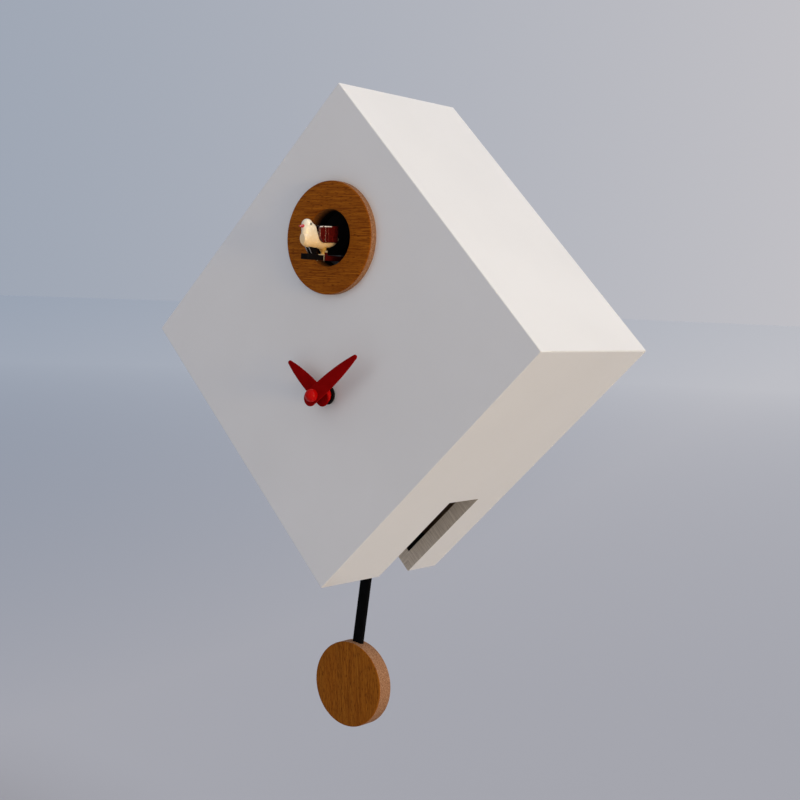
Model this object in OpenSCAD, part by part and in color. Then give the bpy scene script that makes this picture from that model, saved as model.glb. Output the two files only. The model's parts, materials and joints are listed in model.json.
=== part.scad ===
// Cuckoo clock: a white square case hung on one corner, with a bird in a round wooden doorway,
// two hands on the plain front and a pendulum that swings in a slot through the bottom corner.
// Frame: origin on the wall, at the centre of the case's back; +X right, -Y out to the front, +Z up.

/* [Case] */
// Side of the square case
side = 230; // [220:1:260]
// Depth of the case from the wall to its front face
depth = 120; // [116:1:124]
// Thickness of the side boards
board_t = 10; // [8:0.5:10]
// Thickness of the front panel
panel_t = 10; // [8:0.5:10]
// Thickness of the back panel
back_t = 4; // [3:0.5:4]
// Height of the bar that crosses the access window in the back panel
window_bar = 24; // [16:1:30]

/* [Doorway ring] */
// Height of the doorway above the centre of the case
ring_z = 64.2; // [62:0.1:66]
// Outer radius of the ring
ring_r = 36.2; // [34:0.1:40]
// Radius of the doorway
door_r = 18.1; // [18:0.1:20]
// Radius of the spigot behind the ring
spigot_r = 24; // [22:0.5:26]
// Height of the ring's face above the front panel
ring_proud = 5; // [3:0.5:6]

/* [Bottom slot] */
// Distance from the wall to the slot's near edge
slot_near = 30; // [26:1:32]
// Distance from the wall to the slot's far edge
slot_far = 62; // [60:1:66]
// Length of the slot up each lower board, from the bottom corner
slot_len = 82; // [70:1:90]

/* [Hands] */
// Height of the hand axis, measured up from the centre of the case
hand_z = -36.2; // [-42:0.1:-34]
// Length of the minute hand
minute_len = 44.3; // [38:0.1:48]
// Length of the hour hand
hour_len = 34.3; // [28:0.1:36]
// Radius of the round tail of each hand
hand_root_r = 5.2; // [4.8:0.1:6]
// Distance from the hand axis to the centre of the round tail
hand_tail = 3.4; // [0:0.1:5]
// Angle of the minute hand past twelve
minute_angle = 52.2; // [0:0.1:360]
// Angle of the hour hand past twelve
hour_angle = 306; // [0:0.1:360]
// Radius of the ball on the end of the hand axis
cap_r = 4.3; // [4:0.1:5]

/* [Pendulum] */
// Height of the pendulum's pivot
pivot_z = 14; // [12:0.5:14]
// Distance of the pendulum's plane from the wall
pendulum_plane = 50; // [48:0.5:50]
// Distance from the pivot to the centre of the bob
pendulum_len = 260; // [230:1:280]
// Swing to the left of the vertical in the modelled pose
pendulum_tilt = 6.6; // [0:0.1:7.2]
// Radius of the bob
bob_r = 30; // [26:0.5:34]
// Thickness of the bob
bob_t = 12; // [8:0.5:14]
// Width of the rod
rod_w = 8; // [6:0.5:8]
// Thickness of the rod
rod_t = 3; // [2:0.5:3]

/* [Bird] */
// Height of the perch bar's top face
perch_z = 52.7; // [52.5:0.1:53]
// Distance that the bird comes out
bird_travel = 42; // [36:1:42]

/* [Clock movement] */
// Width and height of the movement's case
movement_w = 56; // [54:1:60]
// Depth of the movement's case
movement_d = 16; // [16:0.5:18]

/* [Bird drive] */
// Tooth module of the rack and its gears
rack_module = 1; // [1:0.1:1]
// Teeth of the wheel that drives the rack
wheel_teeth = 20; // [20:1:20]
// Teeth of the motor's pinion
pinion_teeth = 10; // [10:1:10]

/* [Hidden] */
$fn = 64;
face_y = -depth;
panel_back_y = face_y + panel_t;
half_diag = side / sqrt(2);
inner_half = (side / 2 - board_t) * sqrt(2);
rebate = board_t / 2;
back_half = (side / 2 - rebate) * sqrt(2);
run_gap = 0.05;
free_gap = 0.3;
snug = 0.1;

// Ring
ring_round = 1.2;

// Front stack on the hand axis, as distances in front of the front face
washer_t = 0.6;
nut_r = 6.4;
nut_t = 2.6;
nut_slot_w = 1.2;
bead_r = 5.6;
bead_y = [-7.4, -3.0];
bead_centre_y = -3.6;
hour_y = [-8.6, -7.4];
minute_y = [-14.1, -12.9];
cap_y = -15.3;
bush_r = 4;
bush_gap = 0.4;
pipe_r = 2.5;
arbor_r = 1.5;
leaf_taper = 0.71;
leaf_power = 2.4;
leaf_steps = 14;

// Clock movement: planes behind the front panel, and the gear train
mv_front = panel_back_y;
mv_split = mv_front + movement_d / 2;
mv_rear = mv_front + movement_d;
mv_wall = 1.2;
hour_wheel_y = [mv_front + 2.0, mv_front + 3.4];
cannon_y = [mv_front + 4.2, mv_front + 6.4];
centre_y = [mv_front + 7.4, mv_front + 8.6];
third_pinion_y = [mv_front + 6.9, mv_front + 9.1];
third_y = [mv_front + 9.6, mv_front + 10.8];
fine = 0.4;
coarse = 0.5;
cannon_teeth = 12;
motion_teeth = 36;
motion_pinion_teeth = 12;
hour_teeth = 48;
centre_teeth = 48;
third_pinion_teeth = 10;
third_teeth = 50;
rotor_teeth = 10;
motion_dist = coarse * (cannon_teeth + motion_teeth) / 2;
third_dist = fine * (centre_teeth + third_pinion_teeth) / 2;
rotor_dist = fine * (third_teeth + rotor_teeth) / 2;
motion_dir = -125;
third_dir = 150;
rotor_dir = 30;
motion_at = motion_dist * [cos(motion_dir), sin(motion_dir)] + [0, hand_z];
third_at = third_dist * [cos(third_dir), sin(third_dir)] + [0, hand_z];
rotor_at = third_at + rotor_dist * [cos(rotor_dir), sin(rotor_dir)];
stud_r = 0.8;
motion_arbor_r = 1.6;
knob_r = 6;
knob_t = 4;
knob_gap = 1.6;
flute_r = 0.5;
flute_out = 0.2;
stator_y = [mv_front + 11, mv_front + 12.2];
stator_half = 17;
stator_bar = 21.5;
stator_bar_half = 0.9;
stator_low = 7;
stator_window = 16.5;
stator_leg = 3;
stator_bore = 3.2;
coil_r = 3;
coil_bore = 1.2;
coil_len = 24;
rotor_r = 2.6;
rotor_gear_y = [mv_front + 9.4, mv_front + 10.9];
cell_r = 7.1;
cell_len = 50;
cell_lift = 1.8;
tray_wall = 1.4;
tray_gap = 0.4;
contact_t = 2.6;
contact_half = 5;
button_r = 2.7;
button_h = 1.2;
cell_at = [0, hand_z - movement_w / 2 - cell_r - 2.6];

// Pendulum
pend_y = -pendulum_plane;
pin_r = 1.5;
hanger_t = 7;
hanger_half = 5;
hanger_len = 24;
rod_top = 8;
rod_socket = 14;
bob_edge = 0.8;
collar_t = 1.2;
magnet_drop = 34;
magnet_r = 4;
magnet_t = 3;
coil_gap = 3.5;
drive_coil_r = 8;
drive_coil_t = 6;

// Bird drive: the rack's pitch line, the wheel under it and the motor beside it
rack_pitch = PI * rack_module;
rack_line = perch_z - 6.2;
wheel_r = rack_module * wheel_teeth / 2;
pinion_r = rack_module * pinion_teeth / 2;
wheel_at = [-61, rack_line - wheel_r];
motor_dir = 216;
motor_at = wheel_at + (wheel_r + pinion_r) * [cos(motor_dir), sin(motor_dir)];
plate_in = 17;
plate_t = 2;
plate_out = plate_in + plate_t;
chassis_rear = -22;
bar_y = [chassis_rear - 4, chassis_rear];
front_bar_y = [-64, -61];
chassis_z = [8, 54];
rear_bar_top = 43;
flange_z = [12, 38];
flange_half = plate_out + 8;
flange_t = 2;
flange_holes = [for (x = [-23, 23]) for (z = [18, 32]) [x, z]];
flange_screw_r = 1.5;
flange_head_r = 2.8;
rail_t = 3;
lip_t = 2;
motor_r = 10;
motor_len = 24;
boss_r = 3.9;
shaft_r = 1;
shoe_z = [perch_z - 2.7, perch_z - 0.7];
shoe_w = 9;
rail_in = 7;
bar_front = face_y - 26.6;
rack_rear = wheel_at[0] + 6.5;
rack_front = panel_back_y + 2;

// Electronics on the left plate of the bird drive
board_x = [-plate_out - 5, -plate_out - 3.4];
board_y = [-100, -30];
board_z = [2, 50];
board_posts = [for (y = [-95, -46]) for (z = [12, 46]) [y, z]];
volume_at = [-33, 22];
volume_r = 8;
volume_pin_r = 1.5;
post_r = 1.5;
switch_z = 40;

// Loudspeaker and battery box in the side corners, behind the back panel
speaker_x = -108;
speaker_r = 26;
battery_x = 98;
aa_r = 7.2;
aa_len = 50;
battery_half = [17, 28.5];
door_half = [14.5, 25];

// Keyhole plate
keyhole_z = 104;
keyhole_r = 4.5;
keyslot_r = 2.5;
keyslot_len = 11;
plate_half = [13, 20];
plate_lift = 4;
keyplate_t = 1.5;
hanger_pocket = [16, 28];
hanger_screw_r = 1;
hanger_holes = [for (x = [-10, 10]) for (z = [-14, 22]) [x, keyhole_z + z]];

// Access windows in the back panel, above and below its cross bar
upper_window = [84, 44];
lower_window = 92;

// ---------- helpers ----------

// A prism along Y, from y0 to y1, of an outline drawn in X and Z
module along_y(y0, y1) {
    translate([0, y1, 0]) rotate([90, 0, 0]) linear_extrude(y1 - y0) children();
}

// A prism along X, from x0 to x1, of an outline drawn in Y and Z
module along_x(x0, x1) {
    translate([x0, 0, 0]) rotate([90, 0, 90]) linear_extrude(x1 - x0) children();
}

// A solid turned about an axis along Y: the outline is drawn as radius and depth,
// where more depth is further back
module turned_y() {
    rotate([-90, 0, 0]) rotate_extrude() children();
}

module block(low, high) {
    translate(low) cube(high - low);
}

module diamond(half) {
    polygon([[half, 0], [0, half], [-half, 0], [0, -half]]);
}

// Teeth as [height in modules, half width as a share of the pitch], from root to tip
tooth_low = -1.15;
tooth_high = 0.8;
tooth_root = 0.30;
tooth_mid = 0.20;
tooth_tip = 0.11;
tooth = [[tooth_low, -tooth_root], [0, -tooth_mid], [tooth_high, -tooth_tip],
    [tooth_high, tooth_tip], [0, tooth_mid], [tooth_low, tooth_root]];

// Outline of a spur gear with one tooth centred on the direction given
module gear(teeth, m, direction = 0) {
    rotate(direction) polygon([for (k = [0 : teeth - 1]) for (p = tooth)
        let (a = 360 / teeth * (k + p[1])) m * (teeth / 2 + p[0]) * [cos(a), sin(a)]]);
}

// Direction that puts a gap of the driven gear where the driver has a tooth
function mesh_dir(dir, teeth) = dir + 180 + 180 / teeth;

// Head and shank of a countersunk screw whose head is flush with y = 0 of its own frame
module screw(head_r, shank_r, length) {
    rotate([-90, 0, 0]) {
        translate([0, 0, -length]) cylinder(r = shank_r, h = length, $fn = 32);
        translate([0, 0, -head_r + shank_r])
            cylinder(r1 = shank_r, r2 = head_r, h = head_r - shank_r, $fn = 32);
    }
}

// ---------- case ----------

module front_panel() {
    color("white") along_y(face_y, panel_back_y) difference() {
        diamond(half_diag);
        translate([0, ring_z]) circle(r = spigot_r);
        translate([0, hand_z]) circle(r = bush_r + bush_gap);
    }
}

// The upper right board: mitred at both ends, with a rebate for the back panel
module upper_board() {
    along_y(panel_back_y, -back_t)
        polygon([[0, half_diag], [half_diag, 0], [inner_half, 0], [0, inner_half]]);
    along_y(-back_t, 0)
        polygon([[0, half_diag], [half_diag, 0], [back_half, 0], [0, back_half]]);
}

// A lower board is an upper one turned over, with half of the slot cut out at the bottom corner
module lower_board() {
    corner = slot_len / sqrt(2);
    difference() {
        mirror([0, 0, 1]) upper_board();
        along_y(-slot_far, -slot_near) polygon([[-1, -half_diag - 1], [corner - board_t, -half_diag - 1],
            [corner + 1, -half_diag + corner - 1], [corner - board_t, -half_diag + corner + board_t],
            [-1, -half_diag + corner + board_t]]);
    }
}

module side_upper_right() {
    color("white") upper_board();
}

module side_upper_left() {
    color("white") mirror([1, 0, 0]) upper_board();
}

module side_lower_right() {
    color("white") lower_board();
}

module side_lower_left() {
    color("white") mirror([1, 0, 0]) lower_board();
}

// Places of the back panel's screws, near the middle of each edge and near the corners
screw_inset = 9;
screw_line = back_half - screw_inset * sqrt(2);
screw_share = 0.72;
back_screw_places = [for (sx = [-1, 1]) for (sz = [-1, 1]) for (t = [1 - screw_share, screw_share])
    [sx * screw_line * t, sz * screw_line * (1 - t)]];
back_screw_head = 3;
back_screw_shank = 1.5;

// Rows of sound holes in front of the loudspeaker
hole_pitch = 7;
hole_r = 2;
hole_field = 3.1;
function sound_holes() = [for (i = [-3 : 3]) for (j = [-3 : 3])
    let (p = hole_pitch * [i + j / 2, j * sqrt(3) / 2])
    if (norm(p) < hole_field * hole_pitch) p + [speaker_x, 0]];

module access_windows() {
    half_bar = window_bar / 2;
    intersection() {
        diamond(upper_window[0]);
        translate([-side, half_bar]) square([2 * side, upper_window[1] - half_bar]);
    }
    intersection() {
        diamond(lower_window);
        translate([-side, -side]) square([2 * side, side - half_bar]);
    }
}

module back_panel() {
    color("tan") difference() {
        along_y(-back_t, 0) difference() {
            diamond(back_half - snug);
            access_windows();
            translate([battery_x, 0]) square(2 * door_half, center = true);
            translate([0, keyhole_z + plate_lift]) square(hanger_pocket, center = true);
            for (p = sound_holes()) translate(p) circle(r = hole_r, $fn = 24);
            for (p = hanger_holes) translate(p) circle(r = hanger_screw_r);
        }
        along_y(-keyplate_t, 1) translate([0, keyhole_z + plate_lift]) square(2 * plate_half, center = true);
        for (p = back_screw_places) translate([p[0], 0, p[1]])
            screw(back_screw_head, back_screw_shank, back_t);
    }
}

module back_panel_screws() {
    color("silver") for (p = back_screw_places) translate([p[0], 0, p[1]])
        screw(back_screw_head, back_screw_shank, back_t);
}

module hanger_plate() {
    color("silver") along_y(-keyplate_t, 0) difference() {
        translate([0, keyhole_z + plate_lift]) square(2 * plate_half, center = true);
        translate([0, keyhole_z]) circle(r = keyhole_r);
        translate([-keyslot_r, keyhole_z]) square([2 * keyslot_r, keyslot_len]);
        translate([0, keyhole_z + keyslot_len]) circle(r = keyslot_r);
        for (p = hanger_holes) translate(p) circle(r = hanger_screw_r);
    }
}

module hanger_screws() {
    color("gray") along_y(-back_t, 0) for (p = hanger_holes) translate(p)
        circle(r = hanger_screw_r, $fn = 32);
}

module bird_ring() {
    color("peru") translate([0, 0, ring_z]) turned_y() difference() {
        union() {
            translate([door_r, face_y - ring_proud + ring_round])
                square([ring_r - door_r, ring_proud - ring_round]);
            translate([door_r + ring_round, face_y - ring_proud])
                square([ring_r - door_r - 2 * ring_round, ring_round]);
            translate([ring_r - ring_round, face_y - ring_proud + ring_round]) circle(r = ring_round);
            translate([door_r + ring_round, face_y - ring_proud + ring_round]) circle(r = ring_round);
            translate([door_r, face_y]) square([spigot_r - door_r, panel_t]);
        }
    }
}

// ---------- clock movement ----------

module movement_outline(inset) {
    w = movement_w - 2 * inset;
    c = 4 - inset / 2;
    translate([0, hand_z]) polygon([[-w / 2 + c, -w / 2], [w / 2 - c, -w / 2], [w / 2, -w / 2 + c],
        [w / 2, w / 2 - c], [w / 2 - c, w / 2], [-w / 2 + c, w / 2], [-w / 2, w / 2 - c],
        [-w / 2, -w / 2 + c]]);
}

module stud(at, y0, y1) {
    along_y(y0, y1) translate(at) circle(r = stud_r, $fn = 32);
}

module movement_front_shell() {
    color("dimgray") {
        difference() {
            union() {
                along_y(mv_front, mv_split) movement_outline(0);
                along_y(face_y - nut_t, mv_front) translate([0, hand_z]) circle(r = bush_r);
            }
            along_y(mv_front + mv_wall, mv_split + 1) movement_outline(mv_wall);
            along_y(face_y - nut_t - 1, mv_split) translate([0, hand_z]) circle(r = pipe_r + run_gap);
        }
        stud(motion_at, mv_front + mv_wall, mv_front + 3.6);
        stud(third_at, mv_front + mv_wall, mv_front + 10);
        stud(rotor_at, mv_front + mv_wall, mv_front + 11);
    }
}

module movement_rear_shell() {
    color("dimgray") {
        difference() {
            along_y(mv_split, mv_rear) movement_outline(0);
            along_y(mv_split - 1, mv_rear - mv_wall) movement_outline(mv_wall);
            along_y(mv_split, mv_rear + 1) translate(motion_at) circle(r = motion_arbor_r + run_gap);
        }
        cell_tray();
    }
}

// Open tray under the movement that holds its cell
module cell_tray() {
    half_x = cell_len / 2 + tray_wall + contact_t;
    floor_z = cell_at[1] - cell_r - tray_gap;
    top_z = hand_z - movement_w / 2;
    front_y = mv_front + 0.2;
    difference() {
        block([-half_x, front_y, floor_z - tray_wall], [half_x, mv_rear, top_z]);
        block([-half_x + tray_wall, front_y + tray_wall, floor_z],
            [half_x - tray_wall, mv_rear + 1, top_z - tray_wall]);
    }
}

// A round cell along Z with its button at the top, centred on the origin
module round_cell(radius, length) {
    translate([0, 0, -length / 2]) cylinder(r = radius, h = length - button_h);
    translate([0, 0, length / 2 - button_h]) cylinder(r = button_r, h = button_h);
}

module time_cell() {
    color("steelblue") translate([0, mv_front + cell_lift + cell_r, cell_at[1]]) rotate([0, 90, 0])
        round_cell(cell_r, cell_len);
}

module cell_contacts() {
    half = contact_t / 2;
    color("gold") for (s = [-1, 1]) translate([s * (cell_len / 2 + half), 0, 0])
        block([-half, mv_front + 4, cell_at[1] - contact_half],
            [half, mv_front + 14, cell_at[1] + contact_half]);
}

module rubber_washer() {
    color("black") along_y(face_y - washer_t, face_y) translate([0, hand_z]) difference() {
        circle(r = nut_r);
        circle(r = bush_r);
    }
}

module hub_nut() {
    color("black") along_y(face_y - nut_t, face_y - washer_t) translate([0, hand_z]) difference() {
        circle(r = nut_r);
        circle(r = bush_r);
        for (a = [0 : 90 : 270]) rotate(a)
            translate([(bush_r + nut_r) / 2, -nut_slot_w / 2]) square([nut_r, nut_slot_w]);
    }
}

module stepper_coil() {
    coil_mid = (stator_y[0] + stator_y[1]) / 2;
    color("orangered") translate([0, coil_mid, hand_z + stator_bar]) rotate([0, 90, 0]) difference() {
        cylinder(r = coil_r, h = coil_len, center = true);
        cylinder(r = coil_bore, h = coil_len + 2, center = true);
    }
}

// A frame of soft iron: its top bar passes through the coil and its lower bar holds the rotor
module stepper_stator() {
    color("silver") along_y(stator_y[0], stator_y[1]) translate([0, hand_z]) difference() {
        translate([-stator_half, stator_low])
            square([2 * stator_half, stator_bar + stator_bar_half - stator_low]);
        translate([-stator_half + stator_leg, stator_window])
            square([2 * (stator_half - stator_leg), stator_bar - stator_bar_half - stator_window]);
        translate(rotor_at - [0, hand_z]) circle(r = stator_bore);
    }
}

// ---------- gear train and hands ----------

module centre_wheel() {
    color("gold") {
        along_y(face_y + minute_y[0] - 1, centre_y[1] + 0.6) translate([0, hand_z]) circle(r = arbor_r);
        along_y(face_y + minute_y[1], face_y + hour_y[0] - free_gap) translate([0, hand_z])
            circle(r = pipe_r);
        along_y(cannon_y[0], cannon_y[1]) translate([0, hand_z]) gear(cannon_teeth, coarse, motion_dir);
        along_y(centre_y[0], centre_y[1]) translate([0, hand_z]) gear(centre_teeth, fine, third_dir);
    }
}

module motion_wheel() {
    color("ivory") difference() {
        union() {
            along_y(cannon_y[0] + 0.3, cannon_y[1] - 0.3) translate(motion_at)
                gear(motion_teeth, coarse, mesh_dir(motion_dir, motion_teeth));
            along_y(hour_wheel_y[0] - 0.3, cannon_y[0] + 0.3) translate(motion_at)
                gear(motion_pinion_teeth, fine, motion_dir + 180);
            along_y(cannon_y[1] - 0.3, mv_rear + knob_gap) translate(motion_at) circle(r = motion_arbor_r);
        }
        stud_bore(motion_at, mv_front, mv_front + 3.9);
    }
}

module stud_bore(at, y0, y1) {
    along_y(y0, y1) translate(at) circle(r = stud_r + run_gap, $fn = 32);
}

module setting_knob() {
    knob_y = mv_rear + knob_gap;
    color("dimgray") along_y(knob_y, knob_y + knob_t) translate(motion_at) difference() {
        circle(r = knob_r);
        for (a = [0 : 20 : 359]) rotate(a) translate([knob_r + flute_out, 0]) circle(r = flute_r, $fn = 16);
    }
}

module hour_wheel() {
    color("ivory") difference() {
        union() {
            along_y(hour_wheel_y[0], hour_wheel_y[1]) translate([0, hand_z])
                gear(hour_teeth, fine, mesh_dir(motion_dir + 180, hour_teeth));
            along_y(face_y + hour_y[0], hour_wheel_y[1]) translate([0, hand_z]) circle(r = pipe_r);
        }
        along_y(face_y - depth, depth) translate([0, hand_z]) circle(r = arbor_r + run_gap);
    }
}

module third_wheel() {
    color("ivory") difference() {
        union() {
            along_y(third_pinion_y[0], third_y[0]) translate(third_at)
                gear(third_pinion_teeth, fine, mesh_dir(third_dir, third_pinion_teeth));
            along_y(third_y[0], third_y[1]) translate(third_at) gear(third_teeth, fine, rotor_dir);
        }
        stud_bore(third_at, mv_front, mv_front + 10.3);
    }
}

module rotor() {
    color("slategray") difference() {
        union() {
            along_y(rotor_gear_y[0], rotor_gear_y[1]) translate(rotor_at)
                gear(rotor_teeth, fine, mesh_dir(rotor_dir, rotor_teeth));
            along_y(rotor_gear_y[1], stator_y[1]) translate(rotor_at) circle(r = rotor_r);
        }
        stud_bore(rotor_at, mv_front, mv_front + 11.3);
    }
}

// Half width of a hand, from its axis at t = 0 to its tip at t = 1
function leaf(t) = hand_root_r * (1 - leaf_taper * pow(t, leaf_power));

// Outline of a hand that points up from the origin: a round tail, leaf sides and a round tip
module hand_outline(length) {
    tip_r = leaf(1);
    root = [for (a = [180 : 15 : 360]) hand_root_r * [cos(a), sin(a)] - [0, hand_tail]];
    right = [for (k = [1 : leaf_steps]) let (t = k / leaf_steps) [leaf(t), t * (length - tip_r)]];
    tip = [for (a = [15 : 15 : 165]) [tip_r * cos(a), length - tip_r + tip_r * sin(a)]];
    left = [for (k = [leaf_steps : -1 : 1]) let (t = k / leaf_steps) [-leaf(t), t * (length - tip_r)]];
    polygon(concat(root, right, tip, left));
}

module minute_hand() {
    color("darkred") along_y(face_y + minute_y[0], face_y + minute_y[1]) translate([0, hand_z])
        difference() {
            rotate(-minute_angle) hand_outline(minute_len);
            circle(r = arbor_r);
        }
}

module hour_hand() {
    color("darkred") along_y(face_y + hour_y[0], face_y + hour_y[1]) translate([0, hand_z])
        difference() {
            rotate(-hour_angle) hand_outline(hour_len);
            circle(r = pipe_r);
        }
}

// Ball on the end of the arbor, flat where it meets the minute hand
module hub_cap() {
    color("red") translate([0, face_y, hand_z]) turned_y() difference() {
        intersection() {
            translate([0, cap_y]) circle(r = cap_r);
            translate([0, cap_y - cap_r]) square([cap_r, cap_r + minute_y[0] - cap_y]);
        }
        translate([0, minute_y[0] - 1]) square([arbor_r, 2]);
    }
}

// Domed collar between the hour hand and the nut
module hub_bead() {
    color("red") translate([0, face_y, hand_z]) turned_y() intersection() {
        translate([0, bead_centre_y]) circle(r = bead_r);
        translate([pipe_r, bead_y[0]]) square([bead_r, bead_y[1] - bead_y[0]]);
    }
}

// ---------- pendulum ----------

// Draws in the pendulum's own plane, hanging straight down from its pivot at the origin
module in_swing() {
    translate([0, pend_y, pivot_z]) rotate([0, pendulum_tilt, 0]) children();
}

// Pin between the chassis bars, with a collar on each side of the hanger
module pivot_pin() {
    color("silver") {
        along_y(front_bar_y[0], bar_y[1]) translate([0, pivot_z]) circle(r = pin_r);
        for (s = [-1, 1]) translate([0, pend_y + s * (hanger_t / 2 + free_gap + collar_t / 2), 0])
            along_y(-collar_t / 2, collar_t / 2) translate([0, pivot_z]) circle(r = 2 * pin_r);
    }
}

module rod_blank(top, bottom) {
    block([-rod_w / 2, -rod_t / 2, -bottom], [rod_w / 2, rod_t / 2, -top]);
}

module pendulum_hanger() {
    color("dimgray") in_swing() difference() {
        union() {
            along_y(-hanger_t / 2, hanger_t / 2) circle(r = hanger_half);
            block([-hanger_half, -hanger_t / 2, -hanger_len], [hanger_half, hanger_t / 2, 0]);
        }
        along_y(-hanger_t, hanger_t) circle(r = pin_r + run_gap);
        rod_blank(rod_top, hanger_len + 1);
    }
}

module pendulum_rod() {
    color("black") in_swing() rod_blank(rod_top, pendulum_len - bob_r + rod_socket);
}

module pendulum_magnet() {
    color("silver") in_swing() along_y(rod_t / 2, rod_t / 2 + magnet_t)
        translate([0, -magnet_drop]) circle(r = magnet_r);
}

module pendulum_bob() {
    half_t = bob_t / 2;
    flat_r = bob_r - bob_edge;
    color("peru") in_swing() difference() {
        translate([0, 0, -pendulum_len]) turned_y() polygon([[0, -half_t], [flat_r, -half_t],
            [bob_r, -half_t + bob_edge], [bob_r, half_t - bob_edge], [flat_r, half_t], [0, half_t]]);
        rod_blank(pendulum_len - bob_r - 1, pendulum_len - bob_r + rod_socket);
    }
}

// Coil on a post behind the swinging magnet
module drive_coil() {
    coil_y = pend_y + rod_t / 2 + magnet_t + coil_gap;
    color("orangered") along_y(coil_y, coil_y + drive_coil_t) translate([0, pivot_z - magnet_drop])
        circle(r = drive_coil_r);
    color("dimgray") along_y(coil_y + drive_coil_t, bar_y[0]) translate([0, pivot_z - magnet_drop])
        circle(r = drive_coil_r / 2);
}

// ---------- bird ----------

bird_head = [0, face_y - 25.2, 71.2];
head_r = 3.6;
bird_shoulder = [0, face_y - 19.8, 64.6];
shoulder_radii = [3.2, 3.8, 3.6];
bird_breast = [0, face_y - 22.4, 61.6];
breast_radii = [3.2, 5, 5.2];
bird_belly = [0, face_y - 7.4, 61.7];
belly_radii = [3.4, 6, 4.8];
bird_tail = [0, face_y + 3, 61.7];
tail_radii = [2.6, 2.4, 1.5];
beak_y = [face_y - 32, face_y - 27.6];
beak_z = 69.9;
eye_at = [3.1, face_y - 25, 71.3];
wing_half = 4.6;
wing_inner = 3;
wing_y = [face_y - 17.6, face_y];
wing_z = [60.4, 71.8];
wing_corner = 5;
saddle_t = 5;
peg_at = face_y - 8.6;
clip_y = [face_y - 16, face_y - 5];
clip_t = 0.6;

// A ball with a different radius along each axis
module egg(at, radii) {
    translate(at) scale(radii) sphere(r = 1, $fn = 32);
}

module bird_body() {
    color("wheat") difference() {
        union() {
            hull() {
                translate(bird_head) sphere(r = head_r, $fn = 32);
                egg(bird_shoulder, shoulder_radii);
                egg(bird_breast, breast_radii);
            }
            hull() {
                egg(bird_breast, breast_radii);
                egg(bird_belly, belly_radii);
                egg(bird_tail, tail_radii);
            }
        }
        bird_wings();
    }
}

// Side view of a wing: a rectangle with a round lower front corner
module wing_outline() {
    translate([wing_y[0], wing_z[0] + wing_corner])
        square([wing_y[1] - wing_y[0], wing_z[1] - wing_z[0] - wing_corner]);
    translate([wing_y[0] + wing_corner, wing_z[0]])
        square([wing_y[1] - wing_y[0] - wing_corner, wing_z[1] - wing_z[0]]);
    translate([wing_y[0] + wing_corner, wing_z[0] + wing_corner]) circle(r = wing_corner);
}

// Saddle of both wings over the back
module bird_wings() {
    color("maroon") difference() {
        along_x(-wing_half, wing_half) wing_outline();
        block([-wing_inner, wing_y[0] - 1, wing_z[0] - 1], [wing_inner, wing_y[1] + 1, wing_z[1] - saddle_t]);
    }
}

module bird_beak() {
    color("crimson") translate([0, beak_y[1], beak_z]) rotate([90, 0, 0])
        cylinder(r1 = 1.3, r2 = 0.3, h = beak_y[1] - beak_y[0]);
}

module bird_eyes() {
    color("black") for (s = [-1, 1]) translate([s * eye_at[0], eye_at[1], eye_at[2]]) sphere(r = 0.7);
}

// Peg under the belly, with its clip on the perch bar
module bird_peg() {
    color("gold") {
        translate([0, peg_at, perch_z]) cylinder(r = 2.4, h = 5.5);
        block([-3, clip_y[0], perch_z], [3, clip_y[1], perch_z + clip_t]);
    }
}

// Bracket under the breast, with a sloping front edge
module bird_strut() {
    color("black") along_x(-1.6, 1.6) polygon([[face_y - 20.5, perch_z], [face_y - 16.6, perch_z],
        [face_y - 16.6, perch_z + 5.2], [face_y - 24, perch_z + 5.2]]);
}

// Perch bar, slide shoes and rack in one moulding
module perch_carriage() {
    color("black") {
        block([-2.5, bar_front, perch_z - 2.7], [2.5, rack_rear, perch_z]);
        block([-shoe_w, -100, shoe_z[0]], [shoe_w, -60, shoe_z[1]]);
        along_x(-2, 2) rack_outline();
    }
}

module rack_outline() {
    root_z = rack_line - rack_module * tooth_low;
    first = ceil((rack_front - wheel_at[0]) / rack_pitch);
    teeth = [for (k = [first : 1]) let (y = wheel_at[0] + (k + 0.5) * rack_pitch) for (p = tooth)
        [y + p[1] * rack_pitch, rack_line - p[0] * rack_module]];
    polygon(concat([[rack_front, perch_z - 2.7], [rack_front, root_z]], teeth,
        [[rack_rear, root_z], [rack_rear, perch_z - 2.7]]));
}

// ---------- bird drive ----------

// One side of the chassis: a plate with its slide rail on the inner face
module chassis_side() {
    along_x(plate_in, plate_out) polygon([[panel_back_y, flange_z[0]], [front_bar_y[1], chassis_z[0]],
        [chassis_rear, chassis_z[0]], [chassis_rear, chassis_z[1]], [panel_back_y, chassis_z[1]]]);
    along_y(panel_back_y + 6, chassis_rear) polygon([[plate_in, shoe_z[0] - rail_t],
        [plate_in, shoe_z[1] + lip_t], [rail_in, shoe_z[1] + lip_t], [rail_in, shoe_z[1] + free_gap],
        [shoe_w + free_gap, shoe_z[1] + free_gap], [shoe_w + free_gap, shoe_z[0] - free_gap],
        [rail_in, shoe_z[0] - free_gap], [rail_in, shoe_z[0] - rail_t]]);
}

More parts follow.
